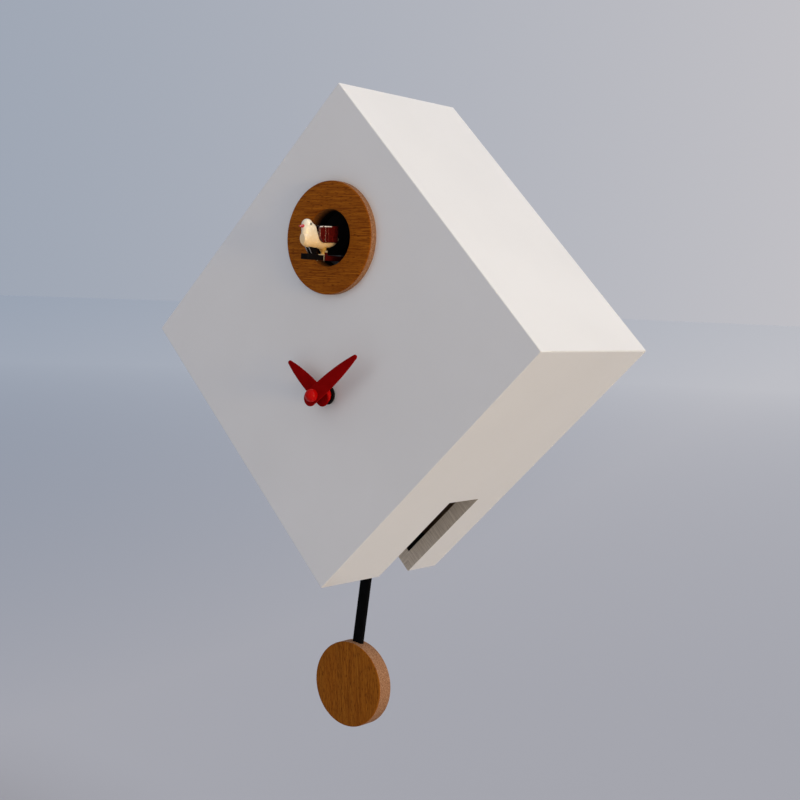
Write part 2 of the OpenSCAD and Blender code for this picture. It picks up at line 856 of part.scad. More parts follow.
module drive_chassis() {
    color("dimgray") difference() {
        union() {
            chassis_side();
            mirror([1, 0, 0]) chassis_side();
            block([-flange_half, panel_back_y, flange_z[0]],
                [flange_half, panel_back_y + flange_t, flange_z[1]]);
            block([-plate_out, front_bar_y[0], chassis_z[0]], [plate_out, front_bar_y[1], pivot_z + 10]);
            block([-plate_out, bar_y[0], chassis_z[0]], [plate_out, bar_y[1], rear_bar_top]);
            block([-10, bar_y[0], pivot_z - magnet_drop - 8], [10, bar_y[1], chassis_z[0]]);
        }
        along_y(-depth, 0) translate([0, pivot_z]) circle(r = pin_r);
        along_x(-depth, depth) translate(wheel_at) circle(r = pin_r);
        along_x(plate_in - 1, plate_out + 1) translate(motor_at) circle(r = boss_r + 0.1);
        for (p = flange_holes) along_y(panel_back_y - 1, panel_back_y + flange_t + 1)
            translate(p) circle(r = flange_screw_r);
    }
}

module chassis_screws() {
    head_y = panel_back_y + flange_t;
    color("silver") for (p = flange_holes) {
        along_y(panel_back_y, head_y) translate(p) circle(r = flange_screw_r, $fn = 32);
        along_y(head_y, head_y + 1.8) translate(p) circle(r = flange_head_r, $fn = 32);
    }
}

module drive_motor() {
    color("silver") difference() {
        union() {
            along_x(plate_out, plate_out + motor_len) translate(motor_at) circle(r = motor_r);
            along_x(plate_in, plate_out) translate(motor_at) circle(r = boss_r);
            along_x(plate_out + motor_len, plate_out + motor_len + 2) translate(motor_at) circle(r = 3);
        }
        along_x(plate_in - 1, plate_out + 8) translate(motor_at) circle(r = shaft_r + run_gap);
    }
}

module motor_pinion() {
    color("gold") {
        along_x(-4, 5) translate(motor_at) gear(pinion_teeth, rack_module, mesh_dir(motor_dir, pinion_teeth));
        along_x(5, plate_out + 6) translate(motor_at) circle(r = shaft_r);
    }
}

// The wheel has a tooth straight up, in a gap of the rack
module rack_wheel() {
    color("ivory") difference() {
        along_x(-5, 4) translate(wheel_at) gear(wheel_teeth, rack_module, 90);
        along_x(-6, 6) translate(wheel_at) circle(r = pin_r + run_gap);
    }
}

module wheel_axle() {
    color("silver") along_x(-plate_out, plate_out) translate(wheel_at) circle(r = pin_r);
}

module end_switch() {
    top = 42;
    color("black") block([6, bar_y[0] - 9, top - 12], [14, bar_y[0], top]);
    color("silver") block([8, bar_y[0] - 8, top], [12, bar_y[0] - 1, top + 0.4]);
}

// ---------- electronics ----------

module circuit_board() {
    color("darkgreen") along_x(board_x[0], board_x[1]) difference() {
        translate([board_y[0], board_z[0]]) square([board_y[1] - board_y[0], board_z[1] - board_z[0]]);
        for (p = board_posts) translate(p) circle(r = post_r);
    }
}

// Chip, capacitors, resistors, post screws, plug, switch housing and the volume wheel's pin
module board_parts() {
    x = board_x[0];
    color("black") block([x - 2, -84, 16], [x, -70, 34]);
    color("dimgray") for (y = [-62, -54]) along_x(x - 9, x) translate([y, 42]) circle(r = 3);
    color("tan") for (k = [0 : 4]) block([x - 1.2, -66 + 4 * k, 12], [x, -64 + 4 * k, 17]);
    color("silver") for (p = board_posts) along_x(x - 1.5, -plate_out) translate(p) circle(r = post_r);
    color("ivory") block([x - 6, -99, 22], [x, -90, 38]);
    color("black") difference() {
        block([x - 5, -40, switch_z - 8], [x, -33.5, switch_z + 8]);
        block([x - 4, -38, switch_z - 5], [x - 1, -33, switch_z + 5]);
    }
    color("dimgray") along_x(x - 4, x) translate(volume_at) circle(r = volume_pin_r);
}

module sound_switch() {
    color("white") block([board_x[0] - 3.6, -37.5, switch_z - 4.5], [board_x[0] - 1.4, -28, switch_z + 0.5]);
}

module volume_wheel() {
    color("dimgray") along_x(board_x[0] - 4, board_x[0] - 1) translate(volume_at) difference() {
        circle(r = volume_r);
        circle(r = volume_pin_r + run_gap);
        for (a = [0 : 15 : 359]) rotate(a)
            translate([volume_r + flute_out, 0]) circle(r = flute_r, $fn = 16);
    }
}

// Turned parts of the loudspeaker; depths are measured forwards from the back panel
module speaker_turned(outline) {
    translate([speaker_x, 0, 0]) turned_y() polygon([for (p = outline) [p[0], -back_t - p[1]]]);
}

module speaker_frame() {
    color("silver") speaker_turned([[speaker_r - 5, 3], [speaker_r - 5, 0], [speaker_r, 0], [speaker_r, 2],
        [speaker_r - 4, 3.4], [12.4, 11], [12.4, 12], [10.4, 12], [10.4, 10]]);
}

module speaker_cone() {
    color("black") speaker_turned([[0, 6.4], [4, 7], [6, 9], [speaker_r - 5.2, 1.2], [speaker_r - 5.2, 2],
        [6.6, 10], [0, 8]]);
}

module speaker_magnet() {
    color("gray") speaker_turned([[0, 12], [14, 12], [14, 20], [0, 20]]);
}

// Tray that opens backwards into the battery door
module battery_box() {
    wall = 1.5;
    deep = 16;
    color("black") difference() {
        block([battery_x - battery_half[0], -back_t - deep - wall, -battery_half[1]],
            [battery_x + battery_half[0], -back_t, battery_half[1]]);
        block([battery_x - battery_half[0] + wall, -back_t - deep, -battery_half[1] + wall],
            [battery_x + battery_half[0] - wall, 1, battery_half[1] - wall]);
    }
}

module batteries() {
    color("steelblue") for (s = [-1, 1]) translate([battery_x + s * (aa_r + 0.15), -back_t - 8.6, 0])
        mirror([0, 0, s > 0 ? 1 : 0]) round_cell(aa_r, aa_len);
}

module battery_contacts() {
    color("gold") for (s = [-1, 1]) block([battery_x - 13, -back_t - 14, s * (aa_len / 2 + 1) - 1],
        [battery_x + 13, -back_t - 3, s * (aa_len / 2 + 1) + 1]);
}

module battery_cover() {
    color("dimgray") difference() {
        block([battery_x - door_half[0] + snug, -back_t + 1, -door_half[1] + snug],
            [battery_x + door_half[0] - snug, 0, door_half[1] - snug]);
        block([battery_x - 6, -1, door_half[1] - 8], [battery_x + 6, 1, door_half[1] - 4]);
    }
}

front_panel();
side_upper_left();
side_upper_right();
side_lower_left();
side_lower_right();
back_panel();
back_panel_screws();
hanger_plate();
hanger_screws();
bird_ring();
movement_front_shell();
movement_rear_shell();
rubber_washer();
hub_nut();
stepper_coil();
stepper_stator();
time_cell();
cell_contacts();
centre_wheel();
minute_hand();
hub_cap();
hour_wheel();
hour_hand();
hub_bead();
motion_wheel();
setting_knob();
third_wheel();
rotor();
pivot_pin();
drive_coil();
pendulum_hanger();
pendulum_magnet();
pendulum_rod();
pendulum_bob();
bird_body();
bird_wings();
bird_beak();
bird_eyes();
bird_peg();
bird_strut();
perch_carriage();
drive_chassis();
chassis_screws();
drive_motor();
motor_pinion();
rack_wheel();
wheel_axle();
end_switch();
circuit_board();
board_parts();
sound_switch();
volume_wheel();
speaker_frame();
speaker_cone();
speaker_magnet();
battery_box();
batteries();
battery_contacts();
battery_cover();
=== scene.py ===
"""Looks of the cuckoo clock: lacquered case, beech ring and bob, painted bird, red hands, and its works.

Lengths are in metres in the row frame; MM turns millimetres into metres.
"""
import json
import math

import bmesh
import bpy
from mathutils import Matrix, Vector


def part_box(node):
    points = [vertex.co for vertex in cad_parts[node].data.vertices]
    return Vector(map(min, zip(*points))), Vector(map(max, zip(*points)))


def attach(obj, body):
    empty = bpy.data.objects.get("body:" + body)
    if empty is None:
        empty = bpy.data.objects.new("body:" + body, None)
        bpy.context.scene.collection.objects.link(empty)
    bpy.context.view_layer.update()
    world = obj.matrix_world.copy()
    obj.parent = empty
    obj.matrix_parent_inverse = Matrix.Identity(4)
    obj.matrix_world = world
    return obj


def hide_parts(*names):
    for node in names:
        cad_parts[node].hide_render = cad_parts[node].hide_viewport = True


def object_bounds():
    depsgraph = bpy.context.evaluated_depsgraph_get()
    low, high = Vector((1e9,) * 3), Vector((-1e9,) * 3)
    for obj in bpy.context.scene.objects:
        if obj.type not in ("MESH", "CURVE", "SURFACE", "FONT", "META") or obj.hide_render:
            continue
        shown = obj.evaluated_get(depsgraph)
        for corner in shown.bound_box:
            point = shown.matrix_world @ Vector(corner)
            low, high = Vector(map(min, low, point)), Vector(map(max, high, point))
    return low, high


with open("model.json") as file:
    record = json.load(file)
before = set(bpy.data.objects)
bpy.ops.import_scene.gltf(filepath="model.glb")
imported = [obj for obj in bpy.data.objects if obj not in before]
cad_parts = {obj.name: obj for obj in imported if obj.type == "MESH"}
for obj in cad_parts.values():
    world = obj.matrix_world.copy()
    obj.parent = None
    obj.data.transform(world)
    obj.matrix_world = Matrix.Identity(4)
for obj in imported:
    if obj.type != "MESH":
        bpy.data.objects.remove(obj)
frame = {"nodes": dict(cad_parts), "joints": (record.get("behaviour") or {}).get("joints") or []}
NODES = frame["nodes"]
CAD_BOX = [list(corner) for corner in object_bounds()]
MM = 0.001


def mm(*values):
    """A vector given in millimetres, in metres."""
    return Vector(values) * MM


def middle(node):
    """Centre of a CAD node's box."""
    low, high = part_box(node)
    return (low + high) / 2


def joint(name):
    """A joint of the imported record, by name."""
    return next(j for j in frame["joints"] if j["name"] == name)


# ---------- places taken from the frame ----------

FACE_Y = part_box("front_panel")[0].y
PANEL_BACK_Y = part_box("front_panel")[1].y
HALF_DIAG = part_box("front_panel")[1].x
HAND_AXIS = middle("hub_nut")
RING_AXIS = middle("bird_ring")
RING_LOW, RING_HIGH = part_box("bird_ring")
RING_R = (RING_HIGH.x - RING_LOW.x) / 2
PIVOT = Vector(joint("pendulum_swing")["pos_m"])
BOB = middle("pendulum_bob")
BOB_LOW, BOB_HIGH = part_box("pendulum_bob")
TILT = math.atan2(PIVOT.x - BOB.x, PIVOT.z - BOB.z)
BOARD_TURN = math.radians(45)


# ---------- node graphs ----------

class Paint:
    """A material and short calls that build its node graph."""

    def __init__(self, name, base, roughness, metallic=0.0, specular=0.5, coat=0.0, coat_roughness=0.1):
        self.material = bpy.data.materials.new(name)
        self.material.use_nodes = True
        self.tree = self.material.node_tree
        self.shader = self.tree.nodes["Principled BSDF"]
        self.set("Base Color", (*base, 1.0))
        self.set("Roughness", roughness)
        self.set("Metallic", metallic)
        self.set("Specular IOR Level", specular)
        self.set("Coat Weight", coat)
        self.set("Coat Roughness", coat_roughness)
        self.material.diffuse_color = (*base, 1.0)

    def set(self, socket, value):
        self.shader.inputs[socket].default_value = value

    def link(self, output, node, socket):
        self.tree.links.new(output, node.inputs[socket])

    def node(self, kind, **settings):
        made = self.tree.nodes.new(kind)
        for key, value in settings.items():
            setattr(made, key, value)
        return made

    def place(self, scale=(1, 1, 1), turn_y=0.0, normal=False):
        """Object coordinates in millimetres, turned about Y, then scaled along each axis."""
        coords = self.node("ShaderNodeTexCoord").outputs["Normal" if normal else "Object"]
        turned = self.node("ShaderNodeMapping", vector_type="POINT")
        turned.inputs["Rotation"].default_value = (0, turn_y, 0)
        size = 1.0 if normal else 1.0 / MM
        turned.inputs["Scale"].default_value = (size, size, size)
        self.link(coords, turned, "Vector")
        stretched = self.node("ShaderNodeVectorMath", operation="MULTIPLY")
        stretched.inputs[1].default_value = scale
        self.link(turned.outputs["Vector"], stretched, 0)
        return stretched.outputs["Vector"]

    def noise(self, vector, scale, detail=3.0, roughness=0.5, distortion=0.0):
        made = self.node("ShaderNodeTexNoise")
        made.inputs["Scale"].default_value = scale
        made.inputs["Detail"].default_value = detail
        made.inputs["Roughness"].default_value = roughness
        made.inputs["Distortion"].default_value = distortion
        self.link(vector, made, "Vector")
        return made.outputs["Fac"]

    def cells(self, vector, scale):
        made = self.node("ShaderNodeTexVoronoi", feature="F1")
        made.inputs["Scale"].default_value = scale
        self.link(vector, made, "Vector")
        return made.outputs["Distance"]

    def window(self, value, low, high, out_low=0.0, out_high=1.0):
        """Maps low..high to out_low..out_high and clamps."""
        made = self.node("ShaderNodeMapRange", clamp=True)
        limits = {"From Min": low, "From Max": high, "To Min": out_low, "To Max": out_high}
        for socket, number in limits.items():
            made.inputs[socket].default_value = number
        self.link(value, made, "Value")
        return made.outputs["Result"]

    def math(self, operation, first, second):
        made = self.node("ShaderNodeMath", operation=operation)
        for index, value in enumerate((first, second)):
            if isinstance(value, (int, float)):
                made.inputs[index].default_value = value
            else:
                self.link(value, made, index)
        return made.outputs["Value"]

    def absolute(self, value):
        made = self.node("ShaderNodeMath", operation="ABSOLUTE")
        self.link(value, made, 0)
        return made.outputs["Value"]

    def mix(self, factor, first, second):
        """A colour between first and second; each is an RGB tuple or a socket."""
        made = self.node("ShaderNodeMix", data_type="RGBA")
        colours = [s for s in made.inputs if s.type == "RGBA"]
        for socket, value in zip(colours, (first, second)):
            if isinstance(value, tuple):
                socket.default_value = (*value, 1.0)
            else:
                self.tree.links.new(value, socket)
        if isinstance(factor, (int, float)):
            made.inputs["Factor"].default_value = factor
        else:
            self.link(factor, made, "Factor")
        return [s for s in made.outputs if s.type == "RGBA"][0]

    def axis(self, vector, name):
        parts = self.node("ShaderNodeSeparateXYZ")
        self.link(vector, parts, "Vector")
        return parts.outputs[name]

    def distance(self, centre):
        """Distance in millimetres from an axis along Y through centre."""
        offset = self.node("ShaderNodeVectorMath", operation="SUBTRACT")
        offset.inputs[1].default_value = (centre.x / MM, 0, centre.z / MM)
        self.link(self.place((1, 0, 1)), offset, 0)
        length = self.node("ShaderNodeVectorMath", operation="LENGTH")
        self.link(offset.outputs["Vector"], length, 0)
        return length.outputs["Value"]

    def bump(self, height, depth):
        """Adds relief: a height of one is depth metres high."""
        made = self.node("ShaderNodeBump")
        made.inputs["Strength"].default_value = 1.0
        made.inputs["Distance"].default_value = depth
        self.link(height, made, "Height")
        return made.outputs["Normal"]

    def use(self, colour, roughness=None, normal=None):
        """Wires the sockets given to the shader and hands back the finished material."""
        for socket, value in (("Base Color", colour), ("Roughness", roughness), ("Normal", normal)):
            if value is not None:
                self.link(value, self.shader, socket)
        return self.material


def lacquer():
    """Sprayed satin white: a fine orange peel, a faint cloud of gloss and a trace of handling marks."""
    paint = Paint("white_lacquer", (0.80, 0.80, 0.795), 0.36, coat=0.12, coat_roughness=0.22)
    place = paint.place()
    clouds = paint.noise(place, 0.012, 3.0)
    peel = paint.noise(place, 0.9, 2.0)
    marks = paint.noise(paint.place((0.02, 0.02, 0.4), 0.4), 1.0, 4.0, 0.6)
    colour = paint.mix(paint.window(clouds, 0.3, 0.7), (0.785, 0.785, 0.78), (0.815, 0.815, 0.812))
    rough = paint.math("ADD", paint.window(clouds, 0.3, 0.7, 0.32, 0.40),
                       paint.window(marks, 0.6, 0.8, 0.0, 0.05))
    return paint.use(colour, rough, paint.bump(peel, 0.012 * MM))


def cut_board(name, turn):
    """Bare sawn edge of a board whose grain runs along a lower side of the case."""
    paint = Paint(name, (0.30, 0.25, 0.20), 0.75, specular=0.3)
    grain = paint.noise(paint.place((0.05, 0.9, 1.6), turn), 1.0, 5.0, 0.65, 0.4)
    fibres = paint.noise(paint.place((0.3, 2.6, 4.0), turn), 1.0, 3.0, 0.6)
    pores = paint.noise(paint.place((0.12, 1.6, 2.2), turn), 1.6, 2.0)
    wood = paint.mix(paint.window(grain, 0.35, 0.68), (0.78, 0.71, 0.61), (0.50, 0.43, 0.35))
    wood = paint.mix(paint.window(pores, 0.60, 0.72, 0.0, 0.55), wood, (0.24, 0.20, 0.16))
    height = paint.math("ADD", grain, paint.math("MULTIPLY", fibres, 0.6))
    return paint.use(wood, paint.window(fibres, 0.3, 0.7, 0.66, 0.86), paint.bump(height, 0.12 * MM))


def inner_painted_shade():
    """Near-black on the inside of the boards, in uneven streaks: painted shade for the inside of the closed
    case.
    """
    paint = Paint("inner_painted_shade", (0.018, 0.016, 0.015), 0.85, specular=0.25)
    streaks = paint.noise(paint.place((0.02, 0.35, 0.35), BOARD_TURN), 1.0, 4.0, 0.6)
    colour = paint.mix(paint.window(streaks, 0.35, 0.7), (0.012, 0.011, 0.010), (0.032, 0.028, 0.025))
    return paint.use(colour, paint.window(streaks, 0.3, 0.7, 0.78, 0.92), paint.bump(streaks, 0.05 * MM))


def beech(name, turn, pale=(0.40, 0.122, 0.009), deep=(0.165, 0.034, 0.002), bore=None):
    """Oiled beech: fine streaks and short dark flecks along X, turned about Y; greyer speckled edges.

    bore, if given, is the pair of places along Y, in millimetres, between which the inner wall fades to black
    as painted shade deep in the bore.
    """
    paint = Paint(name, pale, 0.5, specular=0.03)
    place = paint.place()
    bands = paint.noise(paint.place((0.012, 0.10, 0.16), turn), 1.0, 3.0, 0.55, 0.6)
    streaks = paint.noise(paint.place((0.05, 0.8, 1.3), turn), 1.0, 4.0, 0.62, 0.25)
    flecks = paint.noise(paint.place((0.25, 1.8, 2.8), turn), 1.0, 2.0, 0.5)
    face = paint.mix(paint.window(streaks, 0.36, 0.64), deep, pale)
    face = paint.mix(paint.window(bands, 0.38, 0.66, 0.0, 0.45), face, (0.30, 0.086, 0.006))
    face = paint.mix(paint.window(flecks, 0.56, 0.66, 0.0, 0.8), face, (0.08, 0.014, 0.001))
    speckle = paint.cells(paint.place((1.1, 1.5, 1.1)), 1.7)
    dots = paint.noise(place, 1.4, 3.0, 0.7)
    edge = paint.mix(paint.window(dots, 0.38, 0.64), (0.19, 0.08, 0.035), (0.43, 0.24, 0.135))
    edge = paint.mix(paint.window(speckle, 0.10, 0.34, 0.75, 0.0), edge, (0.14, 0.05, 0.022))
    flat = paint.window(paint.absolute(paint.axis(paint.place(normal=True), "Y")), 0.30, 0.62)
    if bore:
        # Painted shade: inside the bore the wall fades from lit_wall to black between the two places.
        inside = paint.window(paint.distance(RING_AXIS), RING_R / MM - 6, RING_R / MM - 8)
        depth = paint.window(paint.axis(place, "Y"), *bore)
        lit_wall = paint.mix(0.45, face, (0.16, 0.075, 0.03))
        edge = paint.mix(inside, edge, paint.mix(depth, lit_wall, (0.006, 0.004, 0.003)))
    colour = paint.mix(flat, edge, face)
    relief = paint.math("SUBTRACT", streaks, paint.math("MULTIPLY", paint.window(flecks, 0.57, 0.68), 0.5))
    rough = paint.math("ADD", paint.window(streaks, 0.3, 0.7, 0.42, 0.56),
                       paint.window(flat, 0, 1, 0.22, 0.0))
    return paint.use(colour, rough, paint.bump(relief, 0.035 * MM))


def hardboard():
    """Brown pressed fibre board with a fine matt nap."""
    paint = Paint("hardboard", (0.22, 0.12, 0.06), 0.7, specular=0.3)
    nap = paint.noise(paint.place((1.2, 1.2, 1.2)), 1.0, 4.0, 0.7)
    fibres = paint.noise(paint.place((0.4, 1.5, 2.0), 0.6), 1.0, 3.0, 0.6, 1.2)
    clouds = paint.noise(paint.place(), 0.03, 3.0)
    colour = paint.mix(paint.window(nap, 0.32, 0.7), (0.17, 0.090, 0.045), (0.30, 0.18, 0.095))
    colour = paint.mix(paint.window(fibres, 0.60, 0.74, 0.0, 0.5), colour, (0.40, 0.27, 0.16))
    colour = paint.mix(paint.window(clouds, 0.35, 0.7, 0.0, 0.25), colour, (0.13, 0.07, 0.035))
    height = paint.math("ADD", nap, fibres)
    return paint.use(colour, paint.window(nap, 0.3, 0.7, 0.6, 0.8), paint.bump(height, 0.06 * MM))


def painted(name, base, deep, rough, depth=0.01, coat=0.0, specular=0.5):
    """Brushed or sprayed colour coat: cloudy tone, cloudy gloss between two roughnesses, and a fine skin."""
    paint = Paint(name, base, sum(rough) / 2, specular=specular, coat=coat, coat_roughness=0.06)
    place = paint.place()
    clouds = paint.noise(place, 0.18, 3.0, 0.6)
    skin = paint.noise(place, 0.6, 3.0, 0.55)
    colour = paint.mix(paint.window(clouds, 0.3, 0.7), deep, base)
    return paint.use(colour, paint.window(skin, 0.3, 0.7, *rough), paint.bump(skin, depth * MM))


def moulded(name, base, rough=0.5, texture=2.2, depth=0.02, specular=0.5):
    """Moulded plastic: a spark-eroded grain, lighter scuffs and a little dust."""
    paint = Paint(name, base, rough, specular=specular)
    place = paint.place()
    grain = paint.noise(place, texture, 2.0, 0.6)
    scuffs = paint.noise(paint.place((0.06, 0.5, 0.5), 0.7), 1.0, 4.0, 0.65)
    lighter = tuple(min(1.0, c * 1.5 + 0.006) for c in base)
    colour = paint.mix(paint.window(scuffs, 0.55, 0.75, 0.0, 0.6), base, lighter)
    surface = paint.math("ADD", paint.window(grain, 0.3, 0.7, rough - 0.07, rough + 0.09),
                         paint.window(scuffs, 0.55, 0.75, 0.0, 0.06))
    return paint.use(colour, surface, paint.bump(grain, depth * MM))


def metal(name, base, rough):
    """Plated or turned metal: fine tool lines and clouds of tarnish."""
    paint = Paint(name, base, rough, metallic=1.0)
    lines = paint.noise(paint.place((0.1, 2.5, 2.5)), 1.0, 3.0, 0.6)
    clouds = paint.noise(paint.place(), 0.22, 4.0, 0.6)
    dull = tuple(c * 0.62 for c in base)
    colour = paint.mix(paint.window(clouds, 0.45, 0.75, 0.0, 0.5), base, dull)
    surface = paint.window(lines, 0.3, 0.7, rough - 0.06, rough + 0.10)
    return paint.use(colour, surface, paint.bump(lines, 0.008 * MM))


def winding():
    """Enamelled copper wire wound side by side."""
    paint = Paint("copper_winding", (0.52, 0.17, 0.055), 0.3, metallic=0.85)
    wave = paint.node("ShaderNodeTexWave", wave_type="BANDS", bands_direction="Z")
    wave.inputs["Scale"].default_value = 1.4
    wave.inputs["Distortion"].default_value = 0.3
    paint.link(paint.place((0.4, 0.4, 1.0), 0.02), wave, "Vector")
    turns = wave.outputs["Fac"]
    colour = paint.mix(paint.window(turns, 0.1, 0.6), (0.20, 0.055, 0.018), (0.58, 0.20, 0.07))
    return paint.use(colour, paint.window(turns, 0, 1, 0.42, 0.26), paint.bump(turns, 0.10 * MM))


def circuit_green():
    """Solder mask over fine tracks."""
    paint = Paint("solder_mask", (0.012, 0.10, 0.045), 0.32, coat=0.3)
    tracks = paint.node("ShaderNodeTexBrick", offset=0.5, squash=1.0)
    for socket, value in (("Scale", 1.0), ("Mortar Size", 0.10), ("Brick Width", 3.2), ("Row Height", 1.3)):
        tracks.inputs[socket].default_value = value
    turned = paint.node("ShaderNodeMapping", vector_type="POINT")
    turned.inputs["Rotation"].default_value = (0, math.radians(90), math.radians(90))
    paint.link(paint.place((0.35, 0.35, 0.35)), turned, "Vector")
    paint.link(turned.outputs["Vector"], tracks, "Vector")
    lines = tracks.outputs["Fac"]
    grain = paint.noise(paint.place(), 0.8, 3.0)
    colour = paint.mix(paint.window(lines, 0, 1, 0.0, 0.8), (0.010, 0.085, 0.038), (0.035, 0.20, 0.09))
    return paint.use(colour, paint.window(grain, 0.3, 0.7, 0.26, 0.40), paint.bump(lines, 0.05 * MM))


def cell_film():
    """Shrink film of a battery: a plain two-tone jacket with a metal-coloured band."""
    paint = Paint("cell_film", (0.03, 0.11, 0.20), 0.25, coat=0.5)
    band = paint.window(paint.absolute(paint.axis(paint.place(), "X")), 15.0, 15.4)
    scuff = paint.noise(paint.place((0.4, 1.5, 1.5)), 1.0, 3.0)
    colour = paint.mix(band, (0.025, 0.10, 0.19), (0.42, 0.33, 0.16))
    colour = paint.mix(paint.window(scuff, 0.55, 0.75, 0.0, 0.3), colour, (0.30, 0.32, 0.34))
    return paint.use(colour, paint.window(scuff, 0.3, 0.7, 0.20, 0.36), paint.bump(scuff, 0.01 * MM))


def paper_cone():
    """Pressed paper of a loudspeaker cone."""
    paint = Paint("cone_paper", (0.02, 0.02, 0.021), 0.85, specular=0.2)
    fibre = paint.noise(paint.place((1.5, 1.5, 1.5)), 1.0, 4.0, 0.7)
    colour = paint.mix(paint.window(fibre, 0.3, 0.7), (0.013, 0.013, 0.014), (0.040, 0.038, 0.036))
    return paint.use(colour, paint.window(fibre, 0.3, 0.7, 0.8, 0.95), paint.bump(fibre, 0.06 * MM))


def bird_paint():
    """Cream brushed over carved wood: long soft brush strokes, paler at the head as a painted highlight and
    darker, warmer towards the belly as painted shade.
    """
    paint = Paint("bird_cream", (0.86, 0.70, 0.44), 0.36, coat=0.25, coat_roughness=0.15)
    strokes = paint.noise(paint.place((1.3, 0.35, 0.9), 0.3), 1.0, 4.0, 0.6, 0.5)
    clouds = paint.noise(paint.place(), 0.35, 2.0)
    height = paint.axis(paint.place(), "Z")
    # Painted light from above: pale at the head, darker and warmer down to the belly.
    warm = paint.window(height, 71.0, 58.5)
    colour = paint.mix(warm, (0.88, 0.80, 0.62), (0.84, 0.56, 0.25))
    colour = paint.mix(paint.window(strokes, 0.5, 0.75, 0.0, 0.35), colour, (0.92, 0.83, 0.66))
    colour = paint.mix(paint.window(clouds, 0.55, 0.75, 0.0, 0.15), colour, (0.62, 0.40, 0.18))
    return paint.use(colour, paint.window(strokes, 0.3, 0.7, 0.30, 0.46), paint.bump(strokes, 0.03 * MM))


# Slope of the wing's top edge, along which the painted highlight runs.
WING_TOP_SLOPE = 0.062


def wing_paint():
    """Gloss red brown with streaks; near-black painted shade between the wings and a pale painted highlight
    along the top edge.
    """
    paint = Paint("wing_red", (0.10, 0.006, 0.004), 0.16, specular=0.4, coat=0.35, coat_roughness=0.06)
    place = paint.place()
    streaks = paint.noise(paint.place((0.6, 1.5, 0.35)), 1.0, 3.0, 0.6)
    skin = paint.noise(place, 1.4, 3.0, 0.55)
    red = paint.mix(paint.window(streaks, 0.36, 0.66), (0.055, 0.003, 0.003), (0.12, 0.007, 0.005))
    across = paint.absolute(paint.axis(place, "X"))
    # Painted shade: near-black between the wings, on the saddle and the wings' inner faces.
    red = paint.mix(paint.window(across, 3.6, 3.0), red, (0.010, 0.001, 0.001))
    along = paint.axis(place, "Y")
    above_slope = paint.math("ADD", paint.axis(place, "Z"), paint.math("MULTIPLY", along, -WING_TOP_SLOPE))
    # Painted highlight: a pale band along the sloping top edge, in a front patch and a middle patch.
    top_edge = paint.window(above_slope, 78.45, 78.75)
    front_patch = paint.window(along, -134.3, -134.8)
    middle_patch = paint.math("MULTIPLY", paint.window(along, -133.6, -133.1),
                              paint.window(along, -126.0, -126.5))
    painted_highlight = paint.math("MULTIPLY", top_edge, paint.math("ADD", front_patch, middle_patch))
    colour = paint.mix(painted_highlight, red, (0.80, 0.74, 0.66))
    # Coat and specular fall away with the painted shade between the wings.
    paint.link(paint.window(across, 3.0, 3.7, 0.0, 0.35), paint.shader, "Coat Weight")
    paint.link(paint.window(across, 3.0, 3.7, 0.0, 0.4), paint.shader, "Specular IOR Level")
    return paint.use(colour, paint.window(skin, 0.3, 0.7, 0.10, 0.22), paint.bump(skin, 0.03 * MM))


WHITE = lacquer()
CUT_RIGHT = cut_board("cut_board_right", -BOARD_TURN)
CUT_LEFT = cut_board("cut_board_left", BOARD_TURN)
# Painted shade: near-black for the inside faces of the case.
INNER_SHADE = inner_painted_shade()
# The ring's bore wall fades to black: painted shade deep in the bore.
BEECH_RING = beech("beech_ring", 0.0, bore=(-121.0, -115.5))
BEECH_BOB = beech("beech_bob", math.radians(90) + TILT, (0.36, 0.125, 0.012), (0.20, 0.054, 0.004))
BACK = hardboard()
HAND_RED = painted("hand_red", (0.28, 0.002, 0.002), (0.23, 0.001, 0.001), (0.45, 0.60), specular=0.01)
BALL_RED = painted("ball_red", (0.50, 0.003, 0.002), (0.44, 0.002, 0.002), (0.18, 0.28), 0.004, specular=0.08)
ROD_BLACK = painted("rod_black", (0.004, 0.004, 0.005), (0.002, 0.002, 0.002), (0.42, 0.58), specular=0.01)
CREAM = bird_paint()
WING_RED = wing_paint()
BEAK_RED = painted("beak_red", (0.58, 0.02, 0.03), (0.45, 0.012, 0.02), (0.2, 0.3), coat=0.4)
EYE_BLACK = painted("eye_black", (0.004, 0.004, 0.004), (0.002, 0.002, 0.002), (0.04, 0.10), coat=1.0)
PEG_YELLOW = painted("peg_yellow", (0.58, 0.33, 0.06), (0.44, 0.22, 0.035), (0.35, 0.5))
CLIP_CREAM = painted("clip_cream", (0.50, 0.40, 0.24), (0.40, 0.31, 0.18), (0.35, 0.5), specular=0.2)
BLOCK_RED = painted("block_red", (0.085, 0.004, 0.003), (0.05, 0.003, 0.002), (0.3, 0.45), specular=0.03)
BLACK = moulded("black_plastic", (0.004, 0.003, 0.003), 0.5, specular=0.03)
SHELL = moulded("shell_plastic", (0.022, 0.022, 0.024), 0.52)
GREY = moulded("grey_plastic", (0.085, 0.088, 0.095), 0.5)
IVORY = moulded("ivory_acetal", (0.72, 0.67, 0.54), 0.38, 1.2, 0.01)
LIGHT = moulded("white_plastic", (0.76, 0.76, 0.74), 0.42)
RUBBER = moulded("rubber", (0.014, 0.014, 0.014), 0.8, 1.5, 0.03)
ZINC = metal("zinc_plate", (0.60, 0.60, 0.58), 0.34)
STEEL = metal("steel", (0.55, 0.56, 0.57), 0.25)
BRASS = metal("brass", (0.78, 0.55, 0.22), 0.26)
IRON = metal("soft_iron", (0.42, 0.42, 0.43), 0.4)
FERRITE = moulded("ferrite", (0.045, 0.045, 0.048), 0.62, 0.9, 0.05)
COPPER = winding()
MASK_GREEN = circuit_green()
FILM = cell_film()
PAPER = paper_cone()


# ---------- mesh helpers ----------

WELD_GAP = 0.002 * MM
SHARP_ANGLE = math.radians(40)


